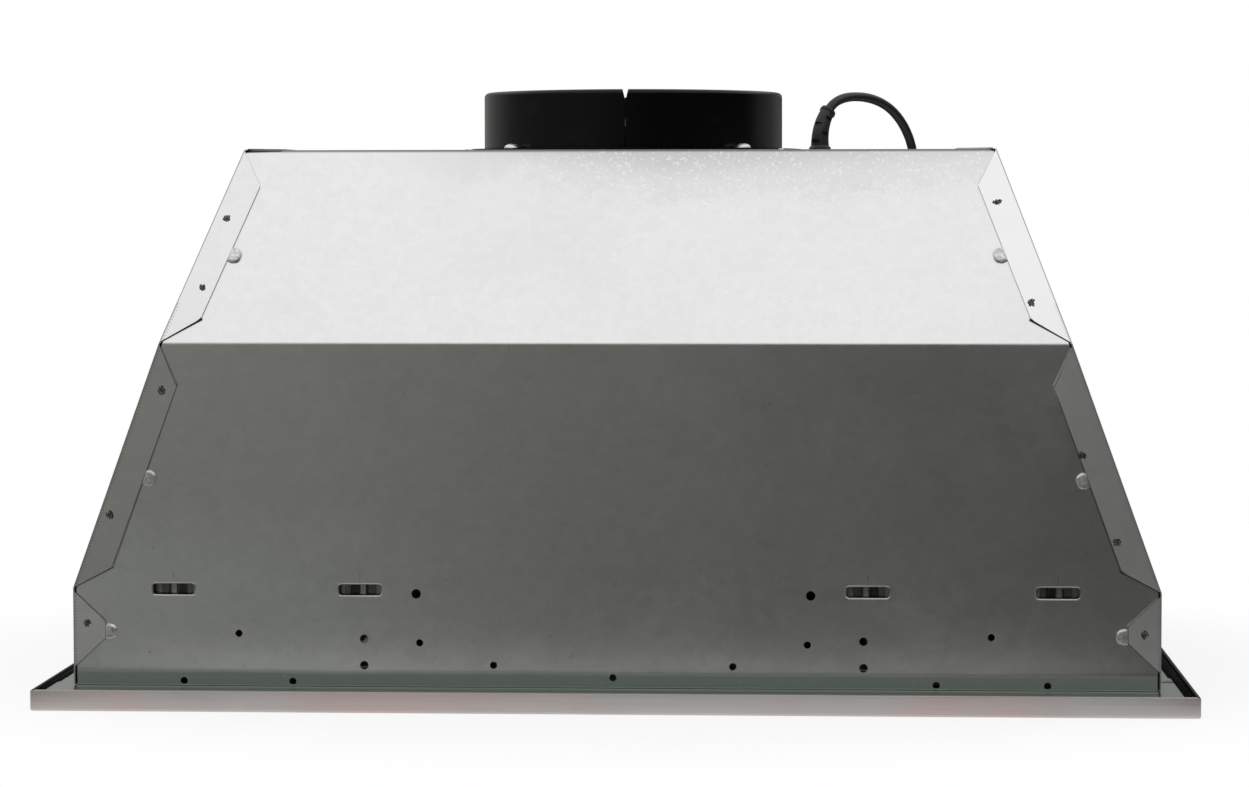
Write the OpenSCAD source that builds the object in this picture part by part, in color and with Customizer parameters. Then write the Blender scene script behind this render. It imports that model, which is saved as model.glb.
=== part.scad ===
/* [Rim] */
// Width of the stainless rim across the front
rim_w = 704; // [690:1:760]
// Depth of the stainless rim, front to back
rim_d = 480; // [474:1:520]
// Height of the rim's skirt
rim_h = 13; // [12.5:0.5:20]
// Width of the rim's bottom return
rim_return = 31; // [26:1:34]
// Height of the inner upstand that carries the bottom panel
rim_upstand = 10; // [9.6:0.1:11]
// Stainless sheet thickness
trim_sheet = 1; // [0.8:0.1:1.2]
// Outer bend radius along the rim's lower edge
rim_bend_r = 1.6; // [1.3:0.1:2]
// Depth of the folded hem inside the skirt
hem_drop = 6; // [4:0.5:8]

/* [Canopy] */
// Width of the rim outside the canopy at each side
rim_side = 21; // [18:1:24]
// Depth of the rim outside the canopy at the front and rear
rim_front = 28; // [24:1:30]
// Height of the bend in the side panels
bend_h = 72; // [60:1:84]
// Height of the knee across the front
knee_h = 222; // [212:1:236]
// Height of the top plate
top_h = 340; // [338:1:360]
// Width of the canopy at the top plate
top_w = 468; // [440:1:500]
// How far the upper front leans back
front_run = 64; // [52:1:68]
// Galvanised sheet thickness
sheet = 0.8; // [0.7:0.1:1]
// Inner bend radius of the folded sheet
sheet_bend_r = 1; // [0.6:0.1:1.2]
// Inner bend radius of the front's knee
knee_bend_r = 4; // [2:0.5:5]
// Outer bend radius where the front folds into the top plate
top_bend_r = 3.5; // [2.5:0.5:5]
// Gap between the front sheet's edge and the side panel
edge_gap = 1.2; // [0.6:0.1:1.6]
// Width of the inward feet of the panels
foot_w = 9; // [7:1:10]
// Width of the folded joining flanges
flange_w = 18.5; // [16:0.5:21]
// Width of the side panels' flanges on the top plate
top_flange_w = 23; // [18:1:26]
// Length of the flanges' long mitred ends
flange_mitre = 25; // [18:1:28]
// Length of the flanges' short mitred ends
flange_nip = 13; // [10:1:16]
// Height of the joining tab's lower point
tab_low = 23; // [19:1:28]
// Thickness of the base frame
base_sheet = 1; // [0.8:0.1:1.2]
// Width that the base frame and bottom panel stay inside the rim
base_inset = 6; // [5:0.5:8]
// Size of the pressed locating lugs
lug_r = 4.8; // [3:0.2:5.4]
// Height of the pressed locating lugs
lug_h = 1.3; // [0.9:0.1:1.6]

/* [Front holes] */
// Width of the long slots
slot_w = 26.4; // [20:0.2:32]
// Height of the long slots
slot_h = 7.2; // [5:0.2:9]
// Height of the slots' centres
slot_z = 71.5; // [60:0.5:80]
// Distance from the canopy's side to the outer slots' centres
outer_slot_edge = 62; // [54:1:70]
// Distance from the canopy's side to the inner slots' centres
inner_slot_edge = 176.5; // [170:0.5:184]
// Depth of the slots' turned-in lips
slot_lip = 3; // [2:0.5:5]
// Radius of the two fixing holes
fix_r = 2.9; // [2.2:0.1:3.5]
// Distance between the two fixing holes
fix_x = 240; // [230:1:255]
// Height of the two fixing holes
fix_z = 69.3; // [60:0.5:80]
// Radius of the paired bracket holes
pair_r = 2.6; // [2:0.1:3.2]
// Distance between the two columns of bracket holes
pair_x = 304; // [290:1:320]
// Height of the lower bracket holes
pair_z = 25.4; // [22:0.5:28]
// Rise from the lower to the upper bracket holes
pair_rise = 16.2; // [12:0.2:20]
// Radius of the small holes
pilot_r = 2.2; // [1.6:0.1:2.8]

/* [Bottom panel] */
// Height of the bottom panel's front band, front wall to filter opening
band_d = 91; // [88:1:96]
// Width of the bar between the two filter openings
centre_bar = 12; // [8:1:16]
// Width of the panel beside the filter openings
side_band = 21; // [18:1:24]
// Width of the panel behind the filter openings
rear_band = 14; // [13:1:16]

/* [Filters] */
// Gap around each filter in its opening
filter_gap = 1.5; // [1:0.1:2]
// Thickness of a filter
filter_t = 10; // [8:0.5:12]
// Height of the filters' lower face
filter_z = 4.8; // [4.2:0.1:5.2]
// Thickness of the filter's sheet
filter_sheet = 0.8; // [0.6:0.1:1]
// Width of the filter frame's border
filter_border = 12; // [10:1:15]
// Pitch of the baffles
baffle_pitch = 27; // [24:1:32]
// Width of one baffle
baffle_w = 17; // [16:0.5:19]
// Height of a baffle's side walls
baffle_leg = 4.8; // [3.5:0.1:5.2]
// How far a filter's rear edge reaches over its ledge
ledge_reach = 7; // [5:0.5:9]
// Width of the pull bail
bail_w = 80; // [60:2:110]
// Length of the pull bail
bail_l = 28; // [22:1:36]
// Radius of the bail's wire
bail_r = 1.5; // [1.2:0.1:1.6]
// Corner radius of the bail
bail_bend_r = 7; // [5:0.5:9]

/* [Lamps] */
// Distance from the recess's side to each lamp's centre
lamp_edge = 111; // [90:1:130]
// Radius of the lamp holes
lamp_hole_r = 31; // [27:0.5:33]
// Width of the lamp bezel's flange
lamp_flange_w = 5; // [3:0.5:7]
// Height of the lamp bezel below the panel
lamp_drop = 2.5; // [2:0.1:3.5]
// Wall of the lamp bezel
lamp_wall = 2.6; // [2:0.1:3.2]
// Height of the lamp housing
lamp_h = 24; // [18:1:30]
// Number of cooling fins on a lamp housing
lamp_fins = 16; // [8:1:24]

/* [Controls] */
// Number of push buttons
button_count = 5; // [5:1:5]
// Pitch of the push buttons
button_pitch = 26; // [24:0.5:28]
// Width of a push button
button_w = 19.2; // [16:0.2:20]
// Depth of a push button
button_d = 13.2; // [10:0.2:15]
// Height that a button stands out of the bezel
button_proud = 1.2; // [1:0.1:1.5]
// Travel of a push button
button_travel = 1; // [0.6:0.1:1]
// Width of the control bezel
bezel_w = 156; // [152:1:170]
// Depth of the control bezel
bezel_d = 34; // [32:1:40]
// Thickness of the control bezel
bezel_t = 3; // [2.5:0.1:3.4]
// Height of the posts that carry the switch board
post_h = 10; // [9:0.5:14]

/* [Blower] */
// Radius of the fan wheel
wheel_r = 95; // [90:1:97]
// Width of the fan wheel
wheel_w = 80; // [70:1:86]
// Number of blades on the fan wheel
blade_count = 36; // [24:1:44]
// Radial depth of the blades
blade_depth = 14; // [11:0.5:16]
// Height of the fan wheel's axis above the middle of the space over the filters
wheel_rise = 11.5; // [8:0.5:14]
// Inner width of the scroll
scroll_w = 100; // [96:1:110]
// Gap from the wheel to the scroll at the tongue
tongue_gap = 8; // [6:0.5:9]
// Room that the scroll's largest radius leaves in half the canopy's depth
scroll_room = 64; // [60:1:70]
// Step from the outlet neck to the scroll's centre, at the tongue
tongue_step = 28; // [26:1:34]
// Sheet thickness of the blower
blower_sheet = 1; // [0.8:0.1:1.2]
// Side of the square outlet flange under the top plate
outlet_side = 212; // [204:1:220]
// Radius of the inlet hole
inlet_r = 72; // [64:1:76]

/* [Motor] */
// Radius of the motor can
motor_r = 50; // [42:1:54]
// Length of the motor can
motor_l = 80; // [64:1:90]
// Radius of the motor's mounting flange
motor_flange_r = 60; // [56:1:64]
// Radius of the motor shaft
shaft_r = 4; // [3:0.5:5]
// Radius of the wheel's hub
hub_r = 13; // [10:0.5:16]
// Radius of the capacitor
cap_r = 17.5; // [14:0.5:20]
// Length of the capacitor
cap_l = 62; // [50:1:80]

/* [Duct collar] */
// Outer radius of the collar
collar_r = 100; // [98:0.5:102]
// Height of the collar above the top plate
collar_h = 40; // [38:1:60]
// Wall of the collar
collar_wall = 3.6; // [3:0.1:4]
// Rounding of the collar's top edge
collar_round = 3; // [2:0.1:3.2]
// Radius of the collar's base flange
collar_flange_r = 113; // [111:0.5:116]
// Thickness of the collar's base flange
collar_flange_t = 2.4; // [2:0.1:3]
// Width of the notch in the collar's edge
notch_w = 3.8; // [3:0.1:6]
// Depth of the notch in the collar's edge
notch_d = 6.5; // [5:0.5:9]
// Width of the slit below the notch
slit_w = 0.6; // [0.4:0.1:1]
// Radius of the hole in the top plate
top_hole_r = 92; // [88:0.5:94]

/* [Damper] */
// Height of the stop ledge above the top plate
stop_h = 14; // [11:0.5:18]
// Width of the stop ledge
stop_w = 4; // [3:0.5:6]
// Radius of the damper rod
rod_r = 2; // [1.6:0.1:2.4]
// Wall of the flaps' straps round the rod
knuckle_wall = 1.7; // [1.4:0.1:2]
// Thickness of a flap
flap_t = 1.4; // [1.2:0.1:1.8]
// Gap from a flap's edge to the collar
flap_gap = 1.5; // [1.2:0.1:2.2]

/* [Supply] */
// Width of the junction box
junction_w = 80; // [70:1:90]
// Depth of the junction box
junction_d = 62; // [56:1:70]
// Height of the junction box
junction_h = 42; // [34:1:50]
// Sheet thickness of the junction box
junction_sheet = 1; // [0.8:0.1:1.2]
// Distance from the canopy's rear to the boot's centre
boot_edge = 62; // [58:1:66]
// Radius of the boot's base
boot_base_r = 9.2; // [8:0.1:11]
// Height of the boot's base
boot_base_h = 9; // [8:0.5:9]
// Radius of the boot where it leaves its base
boot_low_r = 6.4; // [6:0.1:7]
// Radius of the boot's tip
boot_tip_r = 5; // [4.5:0.1:5.4]
// Diameter of the supply cord
cord_d = 6.6; // [6.4:0.1:6.8]
// Width of the plug
plug_w = 26; // [22:1:30]
// Height of the plug
plug_h = 22; // [18:0.5:22.5]
// Length of the plug's body
plug_l = 34; // [28:1:42]

/* [Fasteners] */
// Radius of the collar screws' heads
collar_head_r = 5.3; // [4.6:0.1:5.3]
// Height of the collar screws' heads
collar_head_h = 3; // [2:0.1:4]
// Radius of the screws' shanks
shank_r = 1.9; // [1.4:0.1:2.2]
// Radius of the small screws' heads
small_head_r = 3; // [2.6:0.1:3.4]
// Height of the small screws' heads
small_head_h = 1.6; // [1.2:0.1:2]

/* [Hidden] */
$fn = 64;

// Clearances and overrun
lap = 0.1;
seat = 0.3;
running = 0.05;
cord_clear = 0.3;
over = 1;
bend_steps = 5;

// Heights of the stacked base
panel_z = rim_upstand;
panel_top = panel_z + trim_sheet;
base_top = panel_top + base_sheet;

// Base frame and canopy details
base_margin = 3;
vent_slit = [6.4, 1.6];
vent_slit_edge = 5;
corner_nip = 2.5;
upper_low_cut = 16;
upper_high_cut = 25;
tab_rise = 1.6;
lug_shares = [0.456, 0.4525];
tab_lug_share = 0.625;
pilot_shares = [[0.6918, 0.618], [0.3565, 0.546], [0.7946, 0.211], [0.5921, 0.211], [0.22, 0.3585]];
mid_pilot_share = 0.2585;

// Canopy planes
body_w = rim_w - 2 * rim_side;
body_d = rim_d - 2 * rim_front;
body_hw = body_w / 2;
slot_outer_x = body_hw - outer_slot_edge;
slot_inner_x = body_hw - inner_slot_edge;
front_y = -body_d / 2;
rear_y = body_d / 2;
top_front_y = front_y + front_run;
side_lean = (body_w - top_w) / 2 / (top_h - bend_h);
side_sec = sqrt(1 + side_lean * side_lean);
front_lean = front_run / (top_h - knee_h);
front_sec = sqrt(1 + front_lean * front_lean);
slope_angle = atan2(top_h - knee_h, front_run);
slope_len = norm([front_run, top_h - knee_h]);
wrap = lap + sheet;
function half_at(z) = body_hw - max(0, z - bend_h) * side_lean;

// Bottom panel layout
panel_hw = rim_w / 2 - base_inset;
panel_hd = rim_d / 2 - base_inset;
recess_hw = rim_w / 2 - rim_return;
recess_hd = rim_d / 2 - rim_return;
opening_x0 = centre_bar / 2;
opening_x1 = recess_hw - side_band;
opening_y0 = -recess_hd + band_d;
opening_y1 = recess_hd - rear_band;
band_y = (opening_y0 - recess_hd) / 2;
lamp_x = recess_hw - lamp_edge;

// Filters
filter_x0 = opening_x0 + filter_gap;
filter_x1 = opening_x1 - filter_gap;
filter_mid = (filter_x0 + filter_x1) / 2;
ledge_web_y = opening_y1 - lap - filter_sheet;
filter_y1 = ledge_web_y - filter_gap;
filter_y0 = opening_y0 + filter_gap;
hinge_y = filter_y1 - ledge_reach;
ledge_top = filter_z - seat;
filter_top = filter_z + filter_t;
baffle_y0 = filter_y0 + filter_border / 3;
baffle_y1 = filter_y1 - filter_border / 3;
baffle_span = filter_x1 - filter_x0 - 2 * filter_sheet - 2 * seat - baffle_w;
baffle_count = floor(baffle_span / baffle_pitch) + 1;
bail_z = filter_z - bail_r - seat;
bail_y = filter_y0 + filter_border / 2;
ear_w = 3 * bail_r;
ear_wall = 0.7;
catch_sheet = 0.6;
catch_gap = 0.5;
catch_w = 16;
catch_foot = 9;
catch_rise = 3.4;
catch_shares = [0.25, 0.75];

// Lamps
lamp_neck_r = lamp_hole_r - seat;
lamp_bore_r = lamp_neck_r - lamp_wall;
lamp_lip = lamp_wall / 2;
lamp_lip_h = lamp_drop / 4;
lens_r = lamp_bore_r - lap;
lens_t = lamp_drop / 2;
lamp_cavity_h = 16;
fin_t = 2;
fin_depth = 8;

// Controls
bezel_z = panel_z - bezel_t;
bezel_opening_w = button_pitch * button_count + button_w / 3;
bezel_opening_d = bezel_d - 2 * bezel_t;
bezel_round = 4;
button_round = 2.4;
button_flange = 1.1;
button_gap = 0.4;
button_flange_t = 1;
stem_w = 4;
switch_w = 8;
switch_h = 4;
switch_engage = 1;
board_screw_l = 6;
board_t = 1.6;
board_z = panel_z + post_h;
board_w = bezel_opening_w - 2 * bezel_t;
post_r = 3;
post_x = board_w / 2 - post_r;
cover_wall = 1.2;
cover_gap = 8;
cover_h = board_z + board_t + cover_gap - panel_top;
cover_hw = bezel_opening_w / 2 + cover_gap;
cover_hd = bezel_opening_d / 2 + cover_gap;
cover_hole_y = band_y - cover_hd / 2;

// Collar and damper
collar_y = (top_front_y + rear_y) / 2;
collar_in_r = collar_r - collar_wall;
collar_screw_r = (collar_r + collar_flange_r) / 2;
stop_t = 2;
stop_z = top_h + stop_h;
flap_r = collar_in_r - flap_gap;
flap_z = stop_z + seat;
rod_gap = 0.4;
rod_z = flap_z + flap_t + rod_gap + rod_r;
knuckle_r = rod_r + running + knuckle_wall;
knuckle_shares = [0.08, 0.36, 0.64, 0.92];
knuckle_l = 12;
strap_l = 16;

// Blower
scroll_r = body_d / 2 - scroll_room;
neck_d = scroll_r - tongue_step;
wheel_y = collar_y + neck_d / 2 - scroll_r;
tongue_r = wheel_r + tongue_gap;
tongue_angle = acos(tongue_step / tongue_r);
neck_y0 = collar_y - neck_d / 2;
neck_y1 = collar_y + neck_d / 2;
outlet_top = top_h - sheet;
neck_top = outlet_top - blower_sheet;
wheel_z = (neck_top + filter_top) / 2 + wheel_rise;
outlet_screw = outlet_side / 2 - 3 * shank_r;
plate_x = scroll_w / 2;
scroll_steps = 44;
shroud_w = 10;
shaft_hole_r = 2 * hub_r;
wheel_x0 = -wheel_w / 2;
wheel_x1 = wheel_w / 2;
blade_t = 0.8;
blade_sweep = 14;
disc_t = 1.2;
hub_l = 26;
blade_shares = [0, 0.5, 1];
ring_t = 2;
ring_bell_r = 4;
ring_throat = 9;
ring_flange_w = 12;

// Motor
motor_x = plate_x + blower_sheet;
motor_flange_t = 3;
motor_cap_t = 8;
motor_boss_r = 2 * shaft_r;
motor_screw_r = (motor_r + motor_flange_r) / 2;
motor_vents = 12;
motor_screw_count = 3;
vent_w = 3;
shaft_end = motor_x + motor_l / 2;
cap_gap = 2;
cap_edge = 80;
cap_x = -outlet_side / 2 - cap_l - cap_gap;
cap_y = rear_y - cap_edge;
clip_t = 1;
cap_z = top_h - sheet - clip_t - 2 * lap - cap_r;
clip_w = 16;
clip_foot = 12;

// Junction box and boot
junction_tab = 9;
junction_tab_t = 3;
lead_r = 2.6;
boot_x = 125.5;
boot_y = rear_y - boot_edge;
junction_x0 = outlet_side / 2 + seat;
junction_y0 = boot_y - junction_d / 2;
junction_z = top_h - sheet - junction_h;
junction_x1 = junction_x0 + junction_w;
junction_y1 = junction_y0 + junction_d;
lead_start_z = junction_z + junction_h / 2;
lead_run_z = base_top + lead_r + cord_clear;
boot_rise = 22;
boot_lean = 44;
boot_heading = 49;
boot_rings = 6;
ring_share = 0.66;
boot_skin = 0.9;
boot_nut_h = 6;
boot_hole_r = boot_low_r + seat;

// Supply cord: over the rear edge from the boot, straight down, and out along the floor
cord_r = cord_d / 2;
cord_sides = 8;
cord_over = [[6, 6.9, 31.2], [7.8, 9, 34], [10.5, 12, 36.8], [14.5, 16.6, 39.3], [20.1, 23, 41.1],
  [26.5, 30.2, 41.7], [33.1, 37.6, 41.2], [39.5, 44.8, 39.6], [45.5, 51.6, 37], [50.9, 57.6, 33.3],
  [55.5, 62.7, 28.7], [59.5, 67.1, 23.3], [62.8, 70.8, 17.3], [65.5, 73.9, 10.4], [67.5, 76.3, 2],
  [68.8, 78.1, -8.4], [69.4, 79.4, -21], [69.5, 80.3, -36], [69.5, 81, -54], [69.5, 81.6, -74],
  [69.5, 82.2, -94]];
cord_drop_shares = [0.2, 0.4, 0.6, 0.8];
cord_down = [[69.5, 85.2, 146], [69.5, 85.8, 126], [69.5, 86.6, 106], [69.5, 87.6, 88], [69.5, 89.2, 72],
  [69.5, 91.6, 57], [69.5, 95, 43], [69.5, 99.6, 30.4], [69.5, 105.6, 19.6], [69.5, 113, 11.4],
  [69.5, 121.4, 6.2], [69.5, 130, 4], [69.5, 136, 3.6], [69.5, 142, 3.6], [69.5, 149, 3.6]];
cord_top = [for (p = cord_over) p + [boot_x, boot_y, top_h]];
cord_foot = [for (p = cord_down) p + [boot_x, boot_y, 0]];
cord_top_end = cord_top[len(cord_top) - 1];
cord_route = concat(cord_top,
  [for (share = cord_drop_shares) cord_top_end + share * (cord_foot[0] - cord_top_end)],
  cord_foot);
coil_r = 44;
coil_centre = cord_route[len(cord_route) - 1] + [-coil_r, cord_d, 0];
coil_pitch = 7.1;
coil_z = 3.6;
coil_turns_in = 2;
coil_turns_climb = 0.5;
coil_turns_out = 1.75;
coil_rings = 24;
coil_sides = 6;
tail_l = 46;
tail_z = 11.6;
plug_relief_l = 20;
blade_l = 17;
blade_w = 6.4;
blade_thick = 1.5;
blade_space = 12.7;
ground_r = 2.4;
ground_drop = 11.9;
ground_l = 20;

// Vectors and points
function unit(v) = v / norm(v);
function left_of(v) = [-v[1], v[0]];
function turned(v, a) = [v[0] * cos(a) - v[1] * sin(a), v[0] * sin(a) + v[1] * cos(a)];
function reversed(list) = [for (i = [len(list) - 1 : -1 : 0]) list[i]];
function mirrored(list) = [for (p = reversed(list)) [-p[0], p[1]]];
function around(c, r, a) = [c[0] + r * cos(a), c[1] + r * sin(a)];

// Section of a folded sheet: the path is its outer face and the sheet lies to the left
function radius_at(r, i) = is_list(r) ? r[i - 1] : r;
function bend_points(a, p, b, r, t, off) =
  let (u = unit(p - a), v = unit(b - p), turn = sign(cross(u, v)), ang = acos(u * v))
  let (ref_r = turn > 0 ? r + t : r, rad = off ? ref_r - turn * t : ref_r)
  let (c = p - u * ref_r * tan(ang / 2) + left_of(u) * ref_r * turn)
  [for (i = [0 : bend_steps]) c + turned(-left_of(u) * turn * rad, turn * ang * i / bend_steps)];
function fold_side(path, r, t, off) =
  let (n = len(path) - 1, shift = off ? t : 0)
  concat([path[0] + left_of(unit(path[1] - path[0])) * shift],
    [for (i = [1 : n - 1]) each bend_points(path[i - 1], path[i], path[i + 1], radius_at(r, i), t, off)],
    [path[n] + left_of(unit(path[n] - path[n - 1])) * shift]);
function folded(path, r, t) = concat(fold_side(path, r, t, false), reversed(fold_side(path, r, t, true)));

// A tube swept along points, with its frames carried along the route
function tangent(p, i) = unit(p[min(i + 1, len(p) - 1)] - p[max(i - 1, 0)]);
function carried(n, t) = unit(n - t * (n * t));
function tube_normals(p, start) =
  [for (i = 0, n = carried(start, tangent(p, 0)); i < len(p);
    i = i + 1, n = carried(n, tangent(p, min(i, len(p) - 1)))) n];
function tube_points(p, r, sides, start) =
  let (normals = tube_normals(p, start))
  [for (i = [0 : len(p) - 1], k = [0 : sides - 1])
    let (t = tangent(p, i), n = normals[i], b = cross(t, n), a = 360 * k / sides)
    p[i] + r * (n * cos(a) + b * sin(a))];
function tube_faces(count, sides) = concat(
  [[for (k = [0 : sides - 1]) k]],
  [[for (k = [sides - 1 : -1 : 0]) (count - 1) * sides + k]],
  [for (i = [0 : count - 2], k = [0 : sides - 1])
    let (a = i * sides + k, b = i * sides + (k + 1) % sides) [a, a + sides, b]],
  [for (i = [0 : count - 2], k = [0 : sides - 1])
    let (a = i * sides + k, b = i * sides + (k + 1) % sides) [b, a + sides, b + sides]]);
module tube(p, r, sides, start = [1, 0, 0]) {
  polyhedron(points = tube_points(p, r, sides, start), faces = tube_faces(len(p), sides));
}

// Solids that run along an axis
module block(lo, hi) {
  translate(lo)
    cube(hi - lo);
}
module along_x(x0, x1) {
  translate([x0, 0, 0])
    rotate([90, 0, 90])
      linear_extrude(x1 - x0)
        children();
}
module along_y(y0, y1) {
  translate([0, y1, 0])
    rotate([90, 0, 0])
      linear_extrude(y1 - y0)
        children();
}
module bar_x(x0, x1, r) {
  translate([x0, 0, 0])
    rotate([0, 90, 0])
      cylinder(r = r, h = x1 - x0);
}
module rounded_rect(w, d, r) {
  square([w, d - 2 * r], center = true);
  square([w - 2 * r, d], center = true);
  for (x = [-1, 1], y = [-1, 1])
    translate([x * (w / 2 - r), y * (d / 2 - r)])
      circle(r);
}
module pan_screw(head_r, head_h, shank, length) {
  rotate_extrude()
    polygon(concat([[0, -length], [shank, -length], [shank, 0]],
      [for (a = [0 : 15 : 90]) [head_r * cos(a), head_h * sin(a)]]));
}

// Rim: skirt, bottom return, hem and inner upstand, mitred at the corners
module rim_run(half_len, outer) {
  inner = outer - rim_return;
  hem_x = outer - 2 * trim_sheet - lap;
  bend_r = rim_bend_r - trim_sheet;
  intersection() {
    along_y(-half_len, half_len)
      polygon(folded([[inner, rim_upstand], [inner, 0], [outer, 0], [outer, rim_h], [hem_x, rim_h],
        [hem_x, rim_h - hem_drop]], [bend_r, bend_r, lap / 3, lap / 3], trim_sheet));
    translate([0, 0, -over])
      linear_extrude(rim_h + 2 * over)
        polygon([[outer - half_len, 0], [outer, half_len], [outer, -half_len]]);
  }
}

module bottom_trim() {
  color("silver") {
    for (a = [0, 180])
      rotate([0, 0, a])
        rim_run(rim_d / 2, rim_w / 2);
    for (a = [90, 270])
      rotate([0, 0, a])
        rim_run(rim_w / 2, rim_d / 2);
  }
}

// Bottom panel with the openings for the filters, lamps and controls
module bottom_panel() {
  color("gainsboro")
    translate([0, 0, panel_z])
      linear_extrude(trim_sheet)
        difference() {
          square([2 * panel_hw, 2 * panel_hd], center = true);
          for (side = [-1, 1]) {
            translate([side * (opening_x0 + opening_x1) / 2, (opening_y0 + opening_y1) / 2])
              square([opening_x1 - opening_x0, opening_y1 - opening_y0], center = true);
            translate([side * lamp_x, band_y])
              circle(lamp_hole_r);
          }
          translate([0, band_y])
            square([bezel_opening_w, bezel_opening_d], center = true);
        }
}

// Galvanised frame that ties the canopy's feet to the bottom panel
base_in_hw = body_hw - foot_w - base_margin;
base_in_hd = body_d / 2 - foot_w - base_margin;
module base_frame() {
  color("darkgray")
    translate([0, 0, panel_top])
      linear_extrude(base_sheet)
        difference() {
          square([2 * panel_hw, 2 * panel_hd], center = true);
          square([2 * base_in_hw, 2 * base_in_hd], center = true);
          translate([panel_hw - vent_slit_edge, band_y])
            square(vent_slit, center = true);
        }
}

// Outline of the canopy seen from the front, drawn in by an inset
function front_view(inset) =
  let (zb = bend_h - inset * (side_sec - 1) / side_lean, zt = top_h + over)
  let (half = [[body_hw - inset, base_top - over], [body_hw - inset, zb],
    [half_at(zt) - inset * side_sec, zt]])
  concat(half, mirrored(half));

// Outline of the canopy seen from the side, spread by an outset
function side_view(outset) =
  let (zk = knee_h + outset * (front_sec - 1) / front_lean, zt = top_h + over)
  [[front_y - outset, base_top - over], [rear_y + outset, base_top - over], [rear_y + outset, zt],
    [front_y + (zt - knee_h) * front_lean - outset * front_sec, zt], [front_y - outset, zk]];

module lug(side, lean) {
  scale([side, 1, 1])
    rotate([0, 0, atan(lean)])
      intersection() {
        translate([-lug_r / 2, 0, -sheet / 2])
          cylinder(r = lug_r, h = lug_h + sheet / 2);
        translate([-2 * lug_r, -lug_r, -sheet])
          cube([2 * lug_r - seat, 2 * lug_r, lug_h + 2 * sheet]);
      }
}
module facing_front() {
  translate([0, front_y, 0])
    rotate([90, 0, 0])
      children();
}
module on_slope() {
  translate([0, front_y, knee_h])
    rotate([slope_angle, 0, 0])
      children();
}
function slope_half(s) = half_at(knee_h + s * sin(slope_angle));
flange_span = flange_w * side_sec;

module front_holes() {
  for (side = [-1, 1]) {
    for (x = [slot_outer_x, slot_inner_x])
      translate([side * x, slot_z])
        rounded_rect(slot_w, slot_h, slot_h / 3);
    translate([side * fix_x / 2, fix_z])
      circle(fix_r);
    for (z = [pair_z, pair_z + pair_rise])
      translate([side * pair_x / 2, z])
        circle(pair_r);
    for (share = pilot_shares)
      translate([side * share[0] * body_hw, share[1] * bend_h])
        circle(pilot_r);
  }
  translate([0, mid_pilot_share * bend_h])
    circle(pilot_r);
}

module slot_lips() {
  for (x = [-slot_outer_x, -slot_inner_x, slot_inner_x, slot_outer_x])
    translate([x, front_y + sheet + slot_lip, slot_z])
      rotate([90, 0, 0])
        linear_extrude(sheet + slot_lip)
          difference() {
            rounded_rect(slot_w + 2 * sheet, slot_h + 2 * sheet, slot_h / 3 + sheet);
            rounded_rect(slot_w, slot_h, slot_h / 3);
          }
}

module top_holes() {
  translate([0, collar_y, top_h - 2 * over - sheet]) {
    cylinder(r = top_hole_r, h = sheet + 4 * over);
    screw_ring()
      cylinder(r = shank_r + running, h = sheet + 4 * over);
    blower_corners()
      cylinder(r = shank_r + running, h = sheet + 4 * over);
  }
  translate([boot_x, boot_y, top_h - 2 * over - sheet])
    cylinder(r = boot_hole_r, h = sheet + 4 * over);
}
module screw_ring() {
  for (a = [45 : 90 : 315])
    rotate([0, 0, a])
      translate([collar_screw_r, 0, 0])
        children();
}
module blower_corners() {
  for (x = [-1, 1], y = [-1, 1])
    translate([x * outlet_screw, y * outlet_screw, 0])
      children();
}

// Front, sloping upper front and top plate, folded from one sheet
module front_panel() {
  color("whitesmoke") {
    difference() {
      union() {
        intersection() {
          along_x(-body_hw, body_hw)
            polygon(folded([[rear_y, top_h], [top_front_y, top_h], [front_y, knee_h], [front_y, base_top],
              [front_y + foot_w, base_top]], [top_bend_r - sheet, knee_bend_r, sheet_bend_r], sheet));
          along_y(front_y - over, rear_y + over)
            polygon(front_view(sheet + edge_gap));
        }
        slot_lips();
      }
      translate([0, front_y + sheet + over, 0])
        rotate([90, 0, 0])
          linear_extrude(sheet + 2 * over)
            front_holes();
      top_holes();
    }
    for (side = [-1, 1]) {
      facing_front() {
        translate([side * (half_at(bend_h + lug_shares[0] * (knee_h - bend_h)) - flange_span),
          bend_h + lug_shares[0] * (knee_h - bend_h), 0])
          lug(side, side_lean);
        translate([side * (body_hw - flange_span), tab_lug_share * bend_h, 0])
          lug(side, 0);
      }
      on_slope()
        translate([side * (slope_half(lug_shares[1] * slope_len) - flange_span),
          lug_shares[1] * slope_len, 0])
          lug(side, side_lean * sin(slope_angle));
    }
  }
}

module rear_panel() {
  rear_top = top_h - sheet - lap;
  color("lightgray")
    intersection() {
      along_x(-body_hw, body_hw)
        polygon(folded([[rear_y - foot_w, base_top], [rear_y, base_top], [rear_y, rear_top],
          [rear_y - foot_w, rear_top]], sheet_bend_r, sheet));
      along_y(front_y - over, rear_y + over)
        polygon(front_view(sheet + edge_gap));
    }
}

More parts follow.
